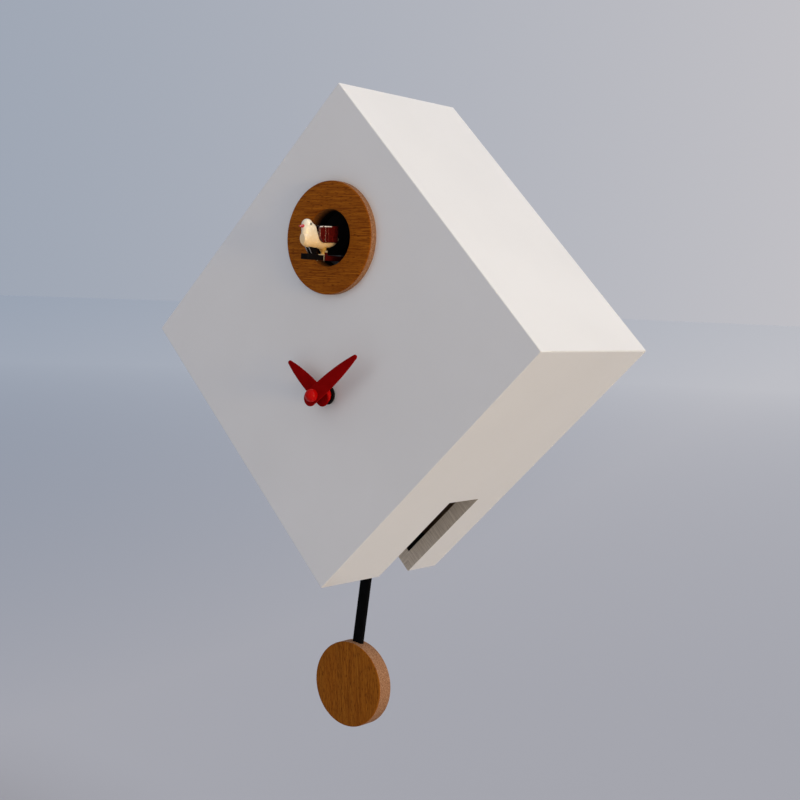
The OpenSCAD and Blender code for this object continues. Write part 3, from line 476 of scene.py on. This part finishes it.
def add_piece(name, bm, materials, body, node=None, crease=35.0, flat_faces=False):
    """Turns a bmesh into a piece that rides on a body and, if asked, stands for a CAD node.

    Edges sharper than crease degrees stay sharp; flat_faces keeps big faces flat between rounded edges.
    """
    bmesh.ops.recalc_face_normals(bm, faces=bm.faces)
    mesh = bpy.data.meshes.new(name)
    bm.to_mesh(mesh)
    bm.free()
    for material in materials:
        mesh.materials.append(material)
    piece = bpy.data.objects.new(name, mesh)
    bpy.context.scene.collection.objects.link(piece)
    mesh.shade_smooth()
    mesh.set_sharp_from_angle(angle=math.radians(crease))
    if flat_faces:
        normals = piece.modifiers.new("normals", "WEIGHTED_NORMAL")
        normals.keep_sharp = True
    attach(piece, body)
    if node:
        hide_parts(node)
    return piece


def arc(centre, radius, start, stop, steps):
    """Points on an arc, in degrees, both ends included."""
    angles = [math.radians(start + (stop - start) * k / steps) for k in range(steps + 1)]
    return [(centre[0] + radius * math.cos(a), centre[1] + radius * math.sin(a)) for a in angles]


def lathe(bm, profile, centre, steps, closed=True):
    """Turns a profile of (radius, depth) points about an axis along Y through centre."""
    rings = []
    turns = [2 * math.pi * k / steps for k in range(steps)]
    for radius, depth in profile:
        if radius < 1e-7:
            rings.append([bm.verts.new((centre.x, depth, centre.z))])
        else:
            circle = [(centre.x + radius * math.cos(a), centre.z + radius * math.sin(a)) for a in turns]
            rings.append([bm.verts.new((x, depth, z)) for x, z in circle])
    pairs = list(zip(rings, rings[1:]))
    if closed:
        pairs.append((rings[-1], rings[0]))
    for first, second in pairs:
        for k in range(steps):
            corners = [first[k % len(first)], first[(k + 1) % len(first)],
                       second[(k + 1) % len(second)], second[k % len(second)]]
            unique = list(dict.fromkeys(corners))
            if len(unique) > 2:
                bm.faces.new(unique)


def rounded_prism(bm, outline, low, high, radius, to_point, steps=4):
    """A prism of a nearly convex outline between depths low and high, with both rims rounded.

    outline is counter-clockwise; to_point turns (u, v, depth) into a place.
    """
    count = len(outline)
    normals = []
    for k in range(count):
        before, here, after = Vector(outline[k - 1]), Vector(outline[k]), Vector(outline[(k + 1) % count])
        tangent = (here - before).normalized() + (after - here).normalized()
        normals.append(Vector((tangent.y, -tangent.x)).normalized())
    bends = [math.radians(90 * k / steps) for k in range(steps, -1, -1)]
    levels = [(radius * (1 - math.cos(a)), low + radius * (1 - math.sin(a))) for a in bends]
    levels += [(inset, low + high - depth) for inset, depth in reversed(levels)]
    rings = []
    for inset, depth in levels:
        ring = [Vector(p) - n * inset for p, n in zip(outline, normals)]
        rings.append([bm.verts.new(to_point(p.x, p.y, depth)) for p in ring])
    skin_rings(bm, rings)


def skin_rings(bm, rings):
    """Joins rings of vertices into a tube with closed ends."""
    for first, second in zip(rings, rings[1:]):
        for k in range(len(first)):
            after = (k + 1) % len(first)
            bm.faces.new((first[k], first[after], second[after], second[k]))
    bm.faces.new(rings[0])
    bm.faces.new(list(reversed(rings[-1])))


def clean_copy(node):
    """A bmesh of a CAD node with its coplanar triangles joined into whole faces."""
    bm = bmesh.new()
    bm.from_mesh(NODES[node].data)
    bmesh.ops.remove_doubles(bm, verts=bm.verts, dist=WELD_GAP)
    bmesh.ops.dissolve_limit(bm, angle_limit=math.radians(0.5), verts=bm.verts, edges=bm.edges)
    return bm


def soften(bm, pick, radius, steps=3):
    """Rounds the edges that pick(edge middle, edge direction) accepts."""
    chosen = []
    for edge in bm.edges:
        a, b = edge.verts[0].co, edge.verts[1].co
        if len(edge.link_faces) == 2 and pick((a + b) / 2, (b - a).normalized()):
            chosen.append(edge)
    bmesh.ops.bevel(bm, geom=chosen, offset=radius, segments=steps, profile=0.5, affect="EDGES")


def near(value, target, tolerance=0.05 * MM):
    """True where value is as good as target."""
    return abs(value - target) < tolerance


def on_outline(point):
    """True on the outer faces of the square case."""
    return near(abs(point.x) + abs(point.z), HALF_DIAG, 0.2 * MM)


# ---------- case ----------

EDGE_R = 0.8 * MM
SLOT_SETBACK = 5 * MM
BOARD_DEPTH = 9 * MM
RIM_STEPS = [math.radians(a) for a in range(0, 91, 15)]


def build_front_panel():
    """Front panel with softened outer edges at the face and down its four corners."""
    bm = clean_copy("front_panel")

    def outer(point, direction):
        corner = on_outline(point) and abs(direction.y) > 0.9
        rim = on_outline(point) and near(point.y, FACE_Y)
        return corner or rim

    soften(bm, outer, EDGE_R)
    for face in bm.faces:
        # The back face of the panel gets the near-black painted shade of the case's inside.
        face.material_index = 1 if near(face.calc_center_median().y, PANEL_BACK_Y) else 0
    add_piece("front_panel_finished", bm, [WHITE, INNER_SHADE], "case", "front_panel", flat_faces=True)


def build_board(node, cut_material):
    """Side board: lacquer outside, near-black painted shade inside, bare wood where the slot is sawn."""
    bm = clean_copy(node)

    def corner(point, direction):
        return on_outline(point) and abs(direction.y) > 0.9 and min(abs(point.x), abs(point.z)) < 0.1 * MM

    soften(bm, corner, EDGE_R)
    low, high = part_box("back_panel")
    for face in bm.faces:
        centre, normal = face.calc_center_median(), face.normal
        reach = abs(centre.x) + abs(centre.z)
        outside = reach > HALF_DIAG - 0.6 * MM and abs(normal.y) < 0.5
        rear_rim = near(centre.y, high.y) and abs(normal.y) > 0.5
        at_slot = PANEL_BACK_Y + SLOT_SETBACK < centre.y < low.y - SLOT_SETBACK
        slot_end = not outside and reach > HALF_DIAG - BOARD_DEPTH and faces_along_board(centre, normal)
        sawn = at_slot and (abs(normal.y) > 0.5 or slot_end)
        face.material_index = 0 if outside or rear_rim else (1 if sawn else 2)
    add_piece(node + "_finished", bm, [WHITE, cut_material, INNER_SHADE], "case", node, flat_faces=True)


def faces_along_board(centre, normal):
    """True on the small faces that close the slot at its upper ends."""
    along = Vector((math.copysign(1, centre.x), 0, 1)).normalized()
    return centre.z < 0 and abs(normal.dot(along)) > 0.7


def build_back_panel():
    """Back panel with eased edges round its windows."""
    bm = clean_copy("back_panel")
    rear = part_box("back_panel")[1].y

    def window_edge(point, direction):
        inside = abs(point.x) + abs(point.z) < HALF_DIAG * 0.62
        return inside and near(point.y, rear) and abs(direction.y) < 0.1

    soften(bm, window_edge, 0.4 * MM, 2)
    add_piece("back_panel_finished", bm, [BACK], "case", "back_panel", flat_faces=True)


def build_ring():
    """Turned beech ring: rounded lip, face, rounded rim and a spigot through the panel."""
    bore, spigot = 18.1 * MM, 24 * MM
    round_r = 1.2 * MM
    front, back = RING_LOW.y, RING_HIGH.y
    lip, rim = bore + round_r, RING_R - round_r
    profile = [(bore, back), (bore, back - (back - front) * 0.4)]
    profile += [(lip - round_r * math.cos(a), front + round_r - round_r * math.sin(a)) for a in RIM_STEPS]
    profile += [(rim + round_r * math.sin(a), front + round_r - round_r * math.cos(a)) for a in RIM_STEPS]
    profile += [(RING_R, FACE_Y), (spigot, FACE_Y), (spigot, back)]
    bm = bmesh.new()
    lathe(bm, profile, RING_AXIS, 160)
    add_piece("bird_ring_turned", bm, [BEECH_RING], "case", "bird_ring")


# ---------- pendulum ----------

def build_bob():
    """Flat beech disc with rounded rims."""
    radius = (BOB_HIGH.z - BOB_LOW.z) / 2
    round_r = 0.9 * MM
    front, back = BOB_LOW.y, BOB_HIGH.y
    rim = [(radius - round_r + round_r * math.sin(a), front + round_r - round_r * math.cos(a))
           for a in RIM_STEPS]
    profile = [(0, front), (radius * 0.5, front)] + rim
    profile += [(r, front + back - y) for r, y in reversed(rim)] + [(radius * 0.5, back), (0, back)]
    bm = bmesh.new()
    lathe(bm, profile, BOB, 160, closed=False)
    add_piece("pendulum_bob_turned", bm, [BEECH_BOB], "pendulum", "pendulum_bob")


# ---------- hands ----------

HAND_ROOT_R = 5.2 * MM
HAND_TAIL = 3.4 * MM
LEAF_TAPER = 0.71
LEAF_POWER = 2.4


def hand_outline(length, steps=26):
    """Round tail, leaf sides that narrow as a power of the length, and a round tip; tip up."""
    tip = HAND_ROOT_R * (1 - LEAF_TAPER)
    sides = [(HAND_ROOT_R * (1 - LEAF_TAPER * (k / steps) ** LEAF_POWER), k / steps * (length - tip))
             for k in range(steps)]
    points = arc((0, -HAND_TAIL), HAND_ROOT_R, 180, 360, 24) + sides + arc((0, length - tip), tip, 0, 180, 12)
    points += [(-u, v) for u, v in reversed(sides)]
    return points


def build_hand(name, node, body):
    """A leaf hand, as long as its CAD node and at the same angle."""
    low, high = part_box(node)
    corners = [v.co for v in NODES[node].data.vertices]
    tip = max(corners, key=lambda c: (c.x - HAND_AXIS.x) ** 2 + (c.z - HAND_AXIS.z) ** 2)
    across, up = tip.x - HAND_AXIS.x, tip.z - HAND_AXIS.z
    length = math.hypot(across, up)
    turn = math.atan2(across, up)

    def to_point(u, v, depth):
        return (HAND_AXIS.x + u * math.cos(turn) + v * math.sin(turn), depth,
                HAND_AXIS.z - u * math.sin(turn) + v * math.cos(turn))

    bm = bmesh.new()
    rounded_prism(bm, hand_outline(length), low.y, high.y, 0.38 * MM, to_point)
    add_piece(name, bm, [HAND_RED], body, node, crease=50)


def ball_profile(radius, centre_y, start, stop, steps):
    """Points on a ball from start to stop degrees, where -90 is its front."""
    angles = [math.radians(start + (stop - start) * k / steps) for k in range(steps + 1)]
    return [(max(radius * math.cos(a), 0), centre_y + radius * math.sin(a)) for a in angles]


def build_hub():
    """Ball on the end of the minute arbor, the bead behind the hands and the collar between the hands."""
    low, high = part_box("hub_cap")
    radius = (high.x - low.x) / 2
    centre_y = low.y + radius
    flat = math.degrees(math.asin((high.y - centre_y) / radius))
    bm = bmesh.new()
    lathe(bm, ball_profile(radius, centre_y, -90, flat, 28) + [(0, high.y)], HAND_AXIS, 72, closed=False)
    add_piece("hub_cap_ball", bm, [BALL_RED], "minute_work", "hub_cap")

    low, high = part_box("hub_bead")
    radius = (high.x - low.x) / 2
    centre_y = high.y - 0.6 * MM
    start, stop = (math.degrees(math.asin((y - centre_y) / radius)) for y in (low.y, high.y))
    bore = 2.5 * MM
    profile = [(bore, low.y)] + ball_profile(radius, centre_y, start, stop, 20) + [(bore, high.y)]
    bm = bmesh.new()
    lathe(bm, profile, HAND_AXIS, 72)
    add_piece("hub_bead_turned", bm, [BALL_RED], "hour_work", "hub_bead")

    front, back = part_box("minute_hand")[1].y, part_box("hour_hand")[0].y - 0.3 * MM
    inner, outer = 1.6 * MM, 2.7 * MM
    bm = bmesh.new()
    lathe(bm, [(inner, front), (outer, front), (outer, back), (inner, back)], HAND_AXIS, 48)
    collar = add_piece("arbor_collar", bm, [HAND_RED], "minute_work")


# ---------- bird ----------

def ellipsoid(bm, centre, radii, turn_x=0.0):
    """Adds a dense ellipsoid; turn_x tips it about X, nose up for a positive angle."""
    shape = Matrix.Diagonal((*radii, 1.0))
    matrix = Matrix.Translation(centre) @ Matrix.Rotation(turn_x, 4, "X") @ shape
    bmesh.ops.create_icosphere(bm, subdivisions=4, radius=1.0, matrix=matrix)


def fuse(name, bm, voxel, rounds):
    """Joins overlapping blobs into one skin and smooths the joins."""
    mesh = bpy.data.meshes.new(name + "_blobs")
    bm.to_mesh(mesh)
    bm.free()
    source = bpy.data.objects.new(name + "_blobs", mesh)
    bpy.context.scene.collection.objects.link(source)
    remesh = source.modifiers.new("skin", "REMESH")
    remesh.mode = "VOXEL"
    remesh.voxel_size = voxel
    smooth = source.modifiers.new("smooth", "SMOOTH")
    smooth.factor = 0.5
    smooth.iterations = rounds
    evaluated = source.evaluated_get(bpy.context.evaluated_depsgraph_get())
    fused = bmesh.new()
    fused.from_mesh(evaluated.to_mesh())
    bpy.data.objects.remove(source)
    return fused


# Blobs of the bird's body from head to tail: centre and radii in millimetres, tip in degrees
BODY_BLOBS = (
    ((0, -144.6, 71.3), (3.4, 3.7, 3.5), 0), ((0, -142.6, 68.4), (3.4, 6.3, 4.6), -8),
    ((0, -141.4, 65.4), (3.5, 7.6, 4.6), -16), ((0, -141.9, 62.4), (3.6, 8.4, 5.6), 0),
    ((0, -138.6, 62.3), (3.6, 8.2, 5.8), 0), ((0, -131.5, 61.9), (3.6, 9.5, 5.3), 0),
    ((0, -124.6, 62.2), (3.4, 7.8, 4.4), 8), ((0, -119.6, 62.5), (2.7, 4.5, 2.2), 26),
)
BODY_HALF = 3.3 * MM
BREAST_Y = -148.9 * MM
BREAST_LEAN = 0.08
THROAT_Z = 68.5 * MM
NAPE_Z = 70.0 * MM
EYE_AT = (3.3, -144.6, 71.6)
EYE_RADII = (0.45, 0.66, 0.80)
BEAK_BASE_Y = -148.1 * MM
BEAK_Z = 69.95 * MM
BEAK_ROOT = 1.15 * MM
BEAK_TIP = 0.12 * MM
BEAK_DROOP = 0.3 * MM
BEAK_GAP = 0.05 * MM


def build_body():
    """Slim carved body: small head, straight nape, flat breast, boat belly and a raised tail."""
    bm = bmesh.new()
    for centre, radii, tip in BODY_BLOBS:
        ellipsoid(bm, mm(*centre), mm(*radii), math.radians(tip))
    body = fuse("bird_body", bm, 0.30 * MM, 10)
    for vert in body.verts:
        breast = BREAST_Y + max(0.0, 67.0 * MM - vert.co.z) * BREAST_LEAN
        if vert.co.z < THROAT_Z:
            vert.co.y = max(vert.co.y, breast)
        if vert.co.z < NAPE_Z:
            vert.co.x = math.copysign(min(abs(vert.co.x), BODY_HALF), vert.co.x)
    bmesh.ops.smooth_vert(body, verts=body.verts, factor=0.4,
                          use_axis_x=True, use_axis_y=True, use_axis_z=True)
    add_piece("bird_body_carved", body, [CREAM], "bird", "bird_body", crease=60)


def build_eyes():
    """Two small black eyes, set a little proud of the head."""
    bm = bmesh.new()
    for sign in (-1, 1):
        ellipsoid(bm, mm(sign * EYE_AT[0], EYE_AT[1], EYE_AT[2]), mm(*EYE_RADII))
    add_piece("bird_eyes_painted", bm, [EYE_BLACK], "bird", "bird_eyes", crease=60)


def build_beak():
    """Upper and lower halves of the beak, the lower one a little shorter."""
    bm = bmesh.new()
    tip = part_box("bird_beak")[0].y
    for upper, setback in ((1, 0.0), (-1, 0.5 * MM)):
        rings = []
        for k in range(9):
            share = k / 8
            depth = BEAK_BASE_Y + (tip + setback - BEAK_BASE_Y) * share
            size = BEAK_ROOT * (1 - share) ** 0.7 + BEAK_TIP
            centre_z = BEAK_Z - BEAK_DROOP * share * share + upper * BEAK_GAP
            half = [(size * math.cos(math.radians(a)), upper * 0.9 * size * math.sin(math.radians(a)))
                    for a in range(0, 181, 15)]
            rings.append([bm.verts.new((u, depth, centre_z + v)) for u, v in half])
        skin_rings(bm, rings)
    add_piece("bird_beak_painted", bm, [BEAK_RED], "bird", "bird_beak", crease=50)


WING_INNER = 3.0 * MM
SADDLE_HALF = 3.4 * MM
SADDLE_LOW = 66 * MM
WING_SKIN = 3.8 * MM
# Feather grooves: place along Y and depth, in millimetres
GROOVES = ((-132.4, 0.26), (-129.8, 0.20), (-125.8, 0.07), (-122.8, 0.07))
GROOVE_HALF = 0.42 * MM


def wing_outline():
    """Side view of a wing as (y, z): a top that rises to the back and a round lower front corner."""
    low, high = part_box("bird_wings")
    corner = 5.2 * MM
    points = [(high.y, low.z + 0.7 * MM), (high.y, high.z), (low.y + 1.4 * MM, high.z - 1.0 * MM),
              (low.y + 0.4 * MM, high.z - 1.6 * MM), (low.y, high.z - 2.8 * MM)]
    points += arc((low.y + corner, low.z + corner), corner, 180, 270, 10)
    return points


def build_wings():
    """Two folded wings and the saddle between them, with shallow feather grooves on the sides."""
    low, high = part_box("bird_wings")
    saddle = [(high.y, SADDLE_LOW), (high.y, high.z - 0.2 * MM), (-133.5 * MM, high.z - 0.7 * MM),
              (-135 * MM, 69.5 * MM), (-135 * MM, SADDLE_LOW)]
    bm = bmesh.new()
    wing = wing_outline()
    slabs = ((WING_INNER, high.x, wing), (-high.x, -WING_INNER, wing), (-SADDLE_HALF, SADDLE_HALF, saddle))
    for inner, outer, outline in slabs:
        rounded_prism(bm, outline, inner, outer, 0.75 * MM, lambda u, v, w: (w, u, v))
    bmesh.ops.recalc_face_normals(bm, faces=bm.faces)
    skin = fuse("wings", bm, 0.20 * MM, 3)
    for vert in skin.verts:
        for place, depth in GROOVES:
            away = (vert.co.y - place * MM) / GROOVE_HALF
            if abs(vert.co.x) > WING_SKIN:
                vert.co.x -= math.copysign(depth * MM * math.exp(-away * away), vert.co.x)
    add_piece("bird_wings_carved", skin, [WING_RED], "bird", "bird_wings", crease=60)


def box_piece(bm, low, high, radius, steps=2):
    """Adds a block with rounded edges."""
    size = Vector(high) - Vector(low)
    matrix = Matrix.Translation((Vector(low) + Vector(high)) / 2) @ Matrix.Diagonal((*size, 1.0))
    made = bmesh.ops.create_cube(bm, size=1.0, matrix=matrix)
    edges = list({e for v in made["verts"] for e in v.link_edges})
    bmesh.ops.bevel(bm, geom=edges, offset=radius, segments=steps, profile=0.5, affect="EDGES")


PEG_Y = -129.4 * MM
# Peg from the bar up: height above the bar and radius, in millimetres
PEG_PROFILE = ((0.3, 1.5), (1.0, 1.3), (1.8, 1.15), (2.6, 1.5), (3.3, 2.2), (5.4, 2.4))
PEG_SIDES = 40
BAR_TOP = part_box("bird_peg")[0].z
CLIP_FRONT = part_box("bird_peg")[0].y
CLIP_BACK = -130.6 * MM
CLIP_HALF = 3.0 * MM
CLIP_T = 0.55 * MM
# Left faces of the two legs and their thickness
LEG_LEFTS = (-2.95 * MM, 2.70 * MM)
LEG_T = 0.25 * MM
WIRE_FOOT = mm(0, -140.7, 52.7)
WIRE_TOP = mm(0, -144.0, 57.4)
WIRE_R = 0.3 * MM
WIRE_OUT = 1.35 * MM


def build_peg():
    """Light turned peg between the bar and the belly."""
    bm = bmesh.new()
    turns = [2 * math.pi * k / PEG_SIDES for k in range(PEG_SIDES)]
    rings = []
    for height, radius in PEG_PROFILE:
        circle = [(radius * MM * math.cos(a), PEG_Y + radius * MM * math.sin(a)) for a in turns]
        rings.append([bm.verts.new((x, y, BAR_TOP + height * MM)) for x, y in circle])
    skin_rings(bm, rings)
    add_piece("bird_peg_turned", bm, [PEG_YELLOW], "bird", "bird_peg", crease=50)


def build_clip():
    """Thin cream clip over the bar, with a leg down each side and a stub behind the peg."""
    bm = bmesh.new()
    box_piece(bm, (-CLIP_HALF, CLIP_FRONT, BAR_TOP), (CLIP_HALF, CLIP_BACK, BAR_TOP + CLIP_T), 0.15 * MM)
    for left in LEG_LEFTS:
        box_piece(bm, (left, -131.3 * MM, BAR_TOP - 3.6 * MM),
                  (left + LEG_T, -130.9 * MM, BAR_TOP + 0.5 * MM), 0.1 * MM)
    box_piece(bm, mm(-1.2, -128.4, 54.5), mm(1.2, -125.7, 55.9), 0.4 * MM)
    clip = add_piece("perch_clip", bm, [CLIP_CREAM], "bird", crease=40)


def build_wires():
    """Two pale wires along the sloping front edge of the bracket."""
    bm = bmesh.new()
    along = (WIRE_TOP - WIRE_FOOT).normalized()
    across = along.cross(Vector((1, 0, 0)))
    turns = [math.pi * k / 4 for k in range(8)]
    for offset in (-WIRE_OUT, WIRE_OUT):
        ends = []
        for point in (WIRE_FOOT, WIRE_TOP):
            spots = [Vector((offset + WIRE_R * math.cos(a), 0, 0)) + across * (WIRE_R * math.sin(a))
                     for a in turns]
            ends.append([bm.verts.new(point + spot) for spot in spots])
        skin_rings(bm, ends)
    wire = add_piece("bracket_wires", bm, [STEEL], "bird", crease=60)


def build_bar():
    """Black nose of the perch bar and the dark red sleeve behind the clip."""
    bm = bmesh.new()
    box_piece(bm, mm(-2.6, -146.7, 49.6), mm(2.6, -130.4, 53.2), 0.3 * MM, 3)
    nose = add_piece("bar_nose", bm, [BLACK], "bird", crease=40)

    bm = bmesh.new()
    box_piece(bm, mm(-2.85, -129.6, 49.5), mm(2.85, -114.0, 52.6), 0.35 * MM, 3)
    ellipsoid(bm, mm(0, -127.3, 52.9), mm(2.2, 1.7, 1.7))
    block = add_piece("bar_sleeve", bm, [BLOCK_RED], "bird", crease=40)


build_front_panel()
for name in ("side_upper_right", "side_upper_left", "side_lower_right", "side_lower_left"):
    build_board(name, CUT_RIGHT if name.endswith("right") else CUT_LEFT)
build_back_panel()
build_ring()
build_bob()
build_hand("minute_hand_leaf", "minute_hand", "minute_work")
build_hand("hour_hand_leaf", "hour_hand", "hour_work")
build_hub()
build_body()
build_eyes()
build_beak()
build_wings()
build_peg()
build_clip()
build_wires()
build_bar()


# ---------- CAD nodes that keep their shape ----------

# Material and edge radius in millimetres
KEPT = {
    "back_panel_screws": (ZINC, 0.1), "hanger_plate": (ZINC, 0.2), "hanger_screws": (ZINC, 0.1),
    "movement_front_shell": (SHELL, 0.3), "movement_rear_shell": (SHELL, 0.4), "rubber_washer": (RUBBER, 0.1),
    "hub_nut": (BLACK, 0.3), "stepper_coil": (COPPER, 0.2), "stepper_stator": (IRON, 0.1),
    "time_cell": (FILM, 0.4), "cell_contacts": (BRASS, 0.2), "centre_wheel": (BRASS, 0.05),
    "hour_wheel": (IVORY, 0.05), "motion_wheel": (IVORY, 0.05), "setting_knob": (LIGHT, 0.3),
    "third_wheel": (IVORY, 0.05), "rotor": (IRON, 0.05),
    "pivot_pin": (STEEL, 0.15), "pendulum_hanger": (GREY, 0.5), "pendulum_rod": (ROD_BLACK, 0.35),
    "pendulum_magnet": (STEEL, 0.3), "drive_coil": (COPPER, 0.4),
    "bird_strut": (BLACK, 0.2), "perch_carriage": (BLACK, 0.15), "drive_chassis": (GREY, 0.4),
    "chassis_screws": (ZINC, 0.3), "drive_motor": (ZINC, 0.6), "motor_pinion": (BRASS, 0.05),
    "rack_wheel": (IVORY, 0.08), "wheel_axle": (STEEL, 0.15), "end_switch": (BLACK, 0.3),
    "circuit_board": (MASK_GREEN, 0.1), "board_parts": (BLACK, 0.2), "sound_switch": (LIGHT, 0.3),
    "volume_wheel": (GREY, 0.15), "speaker_frame": (ZINC, 0.2), "speaker_cone": (PAPER, 0.1),
    "speaker_magnet": (FERRITE, 0.5), "battery_box": (BLACK, 0.3), "batteries": (FILM, 0.4),
    "battery_contacts": (BRASS, 0.2), "battery_cover": (BLACK, 0.3),
}


def finish_cad(node, material, edge_mm):
    """Gives a CAD node its material and a small rounded edge, as a modifier."""
    obj = NODES[node]
    obj.data.materials.clear()
    obj.data.materials.append(material)
    weld = obj.modifiers.new("weld", "WELD")
    weld.merge_threshold = WELD_GAP
    edges = obj.modifiers.new("edges", "BEVEL")
    edges.width = edge_mm * MM
    edges.segments = 2
    edges.limit_method = "ANGLE"
    edges.angle_limit = SHARP_ANGLE
    edges.harden_normals = True
    obj.data.shade_smooth()
    obj.data.set_sharp_from_angle(angle=SHARP_ANGLE)


for name, (material, edge_mm) in KEPT.items():
    finish_cad(name, material, edge_mm)


# ---------- stage, lights and camera ----------

FLOOR_Z = CAD_BOX[0][2] - 0.16
FLOOR_HALF = 60.0
SKY_LEFT, SKY_RIGHT = (0.335, 0.378, 0.455), (0.55, 0.54, 0.567)
GRADIENT = (-0.85, -0.35)


def build_stage():
    """A pale floor that runs out of sight, with painted light and shade like the sky above it: darker and
    bluer to the left and near the clock, paler to the right and far off.
    """
    bm = bmesh.new()
    below = Matrix.Translation((0, 0, FLOOR_Z))
    bmesh.ops.create_grid(bm, x_segments=1, y_segments=1, size=FLOOR_HALF, matrix=below)
    mesh = bpy.data.meshes.new("floor")
    bm.to_mesh(mesh)
    bm.free()
    floor = bpy.data.objects.new("floor", mesh)
    bpy.context.scene.collection.objects.link(floor)
    paint = Paint("floor_pale", (0.62, 0.64, 0.68), 0.9, specular=0.0)
    place = paint.node("ShaderNodeTexCoord").outputs["Object"]
    length = paint.node("ShaderNodeVectorMath", operation="LENGTH")
    paint.link(place, length, 0)
    away = length.outputs["Value"]
    share = paint.math("DIVIDE", paint.axis(place, "X"), paint.math("ADD", away, 1.0))
    # Painted light and shade: darker and bluer to the left and near by, paler to the right and far off.
    tone = paint.window(share, *GRADIENT)
    near_by = paint.mix(tone, (0.28, 0.34, 0.43), (0.53, 0.53, 0.555))
    far_off = paint.mix(tone, (0.45, 0.51, 0.585), (0.75, 0.74, 0.735))
    mesh.materials.append(paint.use(paint.mix(paint.window(away, 0.8, 8.0), near_by, far_off)))


LIT_POINT = Vector((0, -0.06, 0))


def aim(lamp, place):
    """Puts a lamp in place, pointing at the middle of the clock."""
    lamp.location = place
    lamp.rotation_mode = "QUATERNION"
    lamp.rotation_quaternion = (LIT_POINT - Vector(place)).to_track_quat("-Z", "Y")
    bpy.context.scene.collection.objects.link(lamp)


def area_light(name, place, size, power, colour):
    """A round lamp; size in metres, power in watts."""
    data = bpy.data.lights.new(name, "AREA")
    data.shape = "DISK"
    data.size = size
    data.energy = power
    data.color = colour
    aim(bpy.data.objects.new(name, data), place)


def sun_light(name, place, strength, spread, colour):
    """Light from the direction of place; spread is the sun's width in degrees."""
    data = bpy.data.lights.new(name, "SUN")
    data.angle = math.radians(spread)
    data.energy = strength
    data.color = colour
    aim(bpy.data.objects.new(name, data), place)


def build_lights():
    """Open daylight: a pale sky, cool light from above right and warm light from low on the right."""
    world = bpy.data.worlds.new("sky")
    world.use_nodes = True
    tree = world.node_tree
    back = tree.nodes["Background"]
    coords = tree.nodes.new("ShaderNodeTexCoord")
    parts = tree.nodes.new("ShaderNodeSeparateXYZ")
    spread = tree.nodes.new("ShaderNodeMapRange")
    spread.inputs["From Min"].default_value, spread.inputs["From Max"].default_value = GRADIENT
    ramp = tree.nodes.new("ShaderNodeMix")
    ramp.data_type = "RGBA"
    first, second = [i for i in ramp.inputs if i.type == "RGBA"]
    first.default_value, second.default_value = (*SKY_LEFT, 1.0), (*SKY_RIGHT, 1.0)
    tree.links.new(coords.outputs["Generated"], parts.inputs["Vector"])
    tree.links.new(parts.outputs["X"], spread.inputs["Value"])
    tree.links.new(spread.outputs["Result"], ramp.inputs["Factor"])
    tree.links.new([o for o in ramp.outputs if o.type == "RGBA"][0], back.inputs["Color"])
    bpy.context.scene.world = world
    sun_light("sky_right", (0.75, 0.03, 0.66), 1.0, 25, (0.80, 0.89, 1.0))
    area_light("warm_right", (4.0, -0.65, -0.22), 1.2, 88, (1.0, 0.72, 0.34))
    area_light("front_fill", (-0.7, -2.2, 1.1), 0.7, 1.0, (1.0, 1.0, 1.0))


CAMERA_PLACE = mm(604.27, -788.67, 25.57)
CAMERA_YAW, CAMERA_PITCH, CAMERA_ROLL = (math.radians(a) for a in (-39.135, -4.030, 2.176))
LENS, SENSOR = 63.03, 36.0


def build_camera():
    """Camera from its place, its yaw, pitch and roll, and its lens."""
    data = bpy.data.cameras.new("view")
    data.lens = LENS
    data.sensor_width = SENSOR
    camera = bpy.data.objects.new("view", data)
    bpy.context.scene.collection.objects.link(camera)
    ahead = math.cos(CAMERA_PITCH)
    forward = Vector((math.sin(CAMERA_YAW) * ahead, math.cos(CAMERA_YAW) * ahead, math.sin(CAMERA_PITCH)))
    level = forward.cross(Vector((0, 0, 1))).normalized()
    over = level.cross(forward)
    right = math.cos(CAMERA_ROLL) * level + math.sin(CAMERA_ROLL) * over
    up = -math.sin(CAMERA_ROLL) * level + math.cos(CAMERA_ROLL) * over
    turn = Matrix((right, up, -forward)).transposed().to_4x4()
    camera.matrix_world = Matrix.Translation(CAMERA_PLACE) @ turn
    bpy.context.scene.camera = camera


build_stage()
build_lights()
build_camera()
bpy.context.scene.view_settings.view_transform = "Standard"
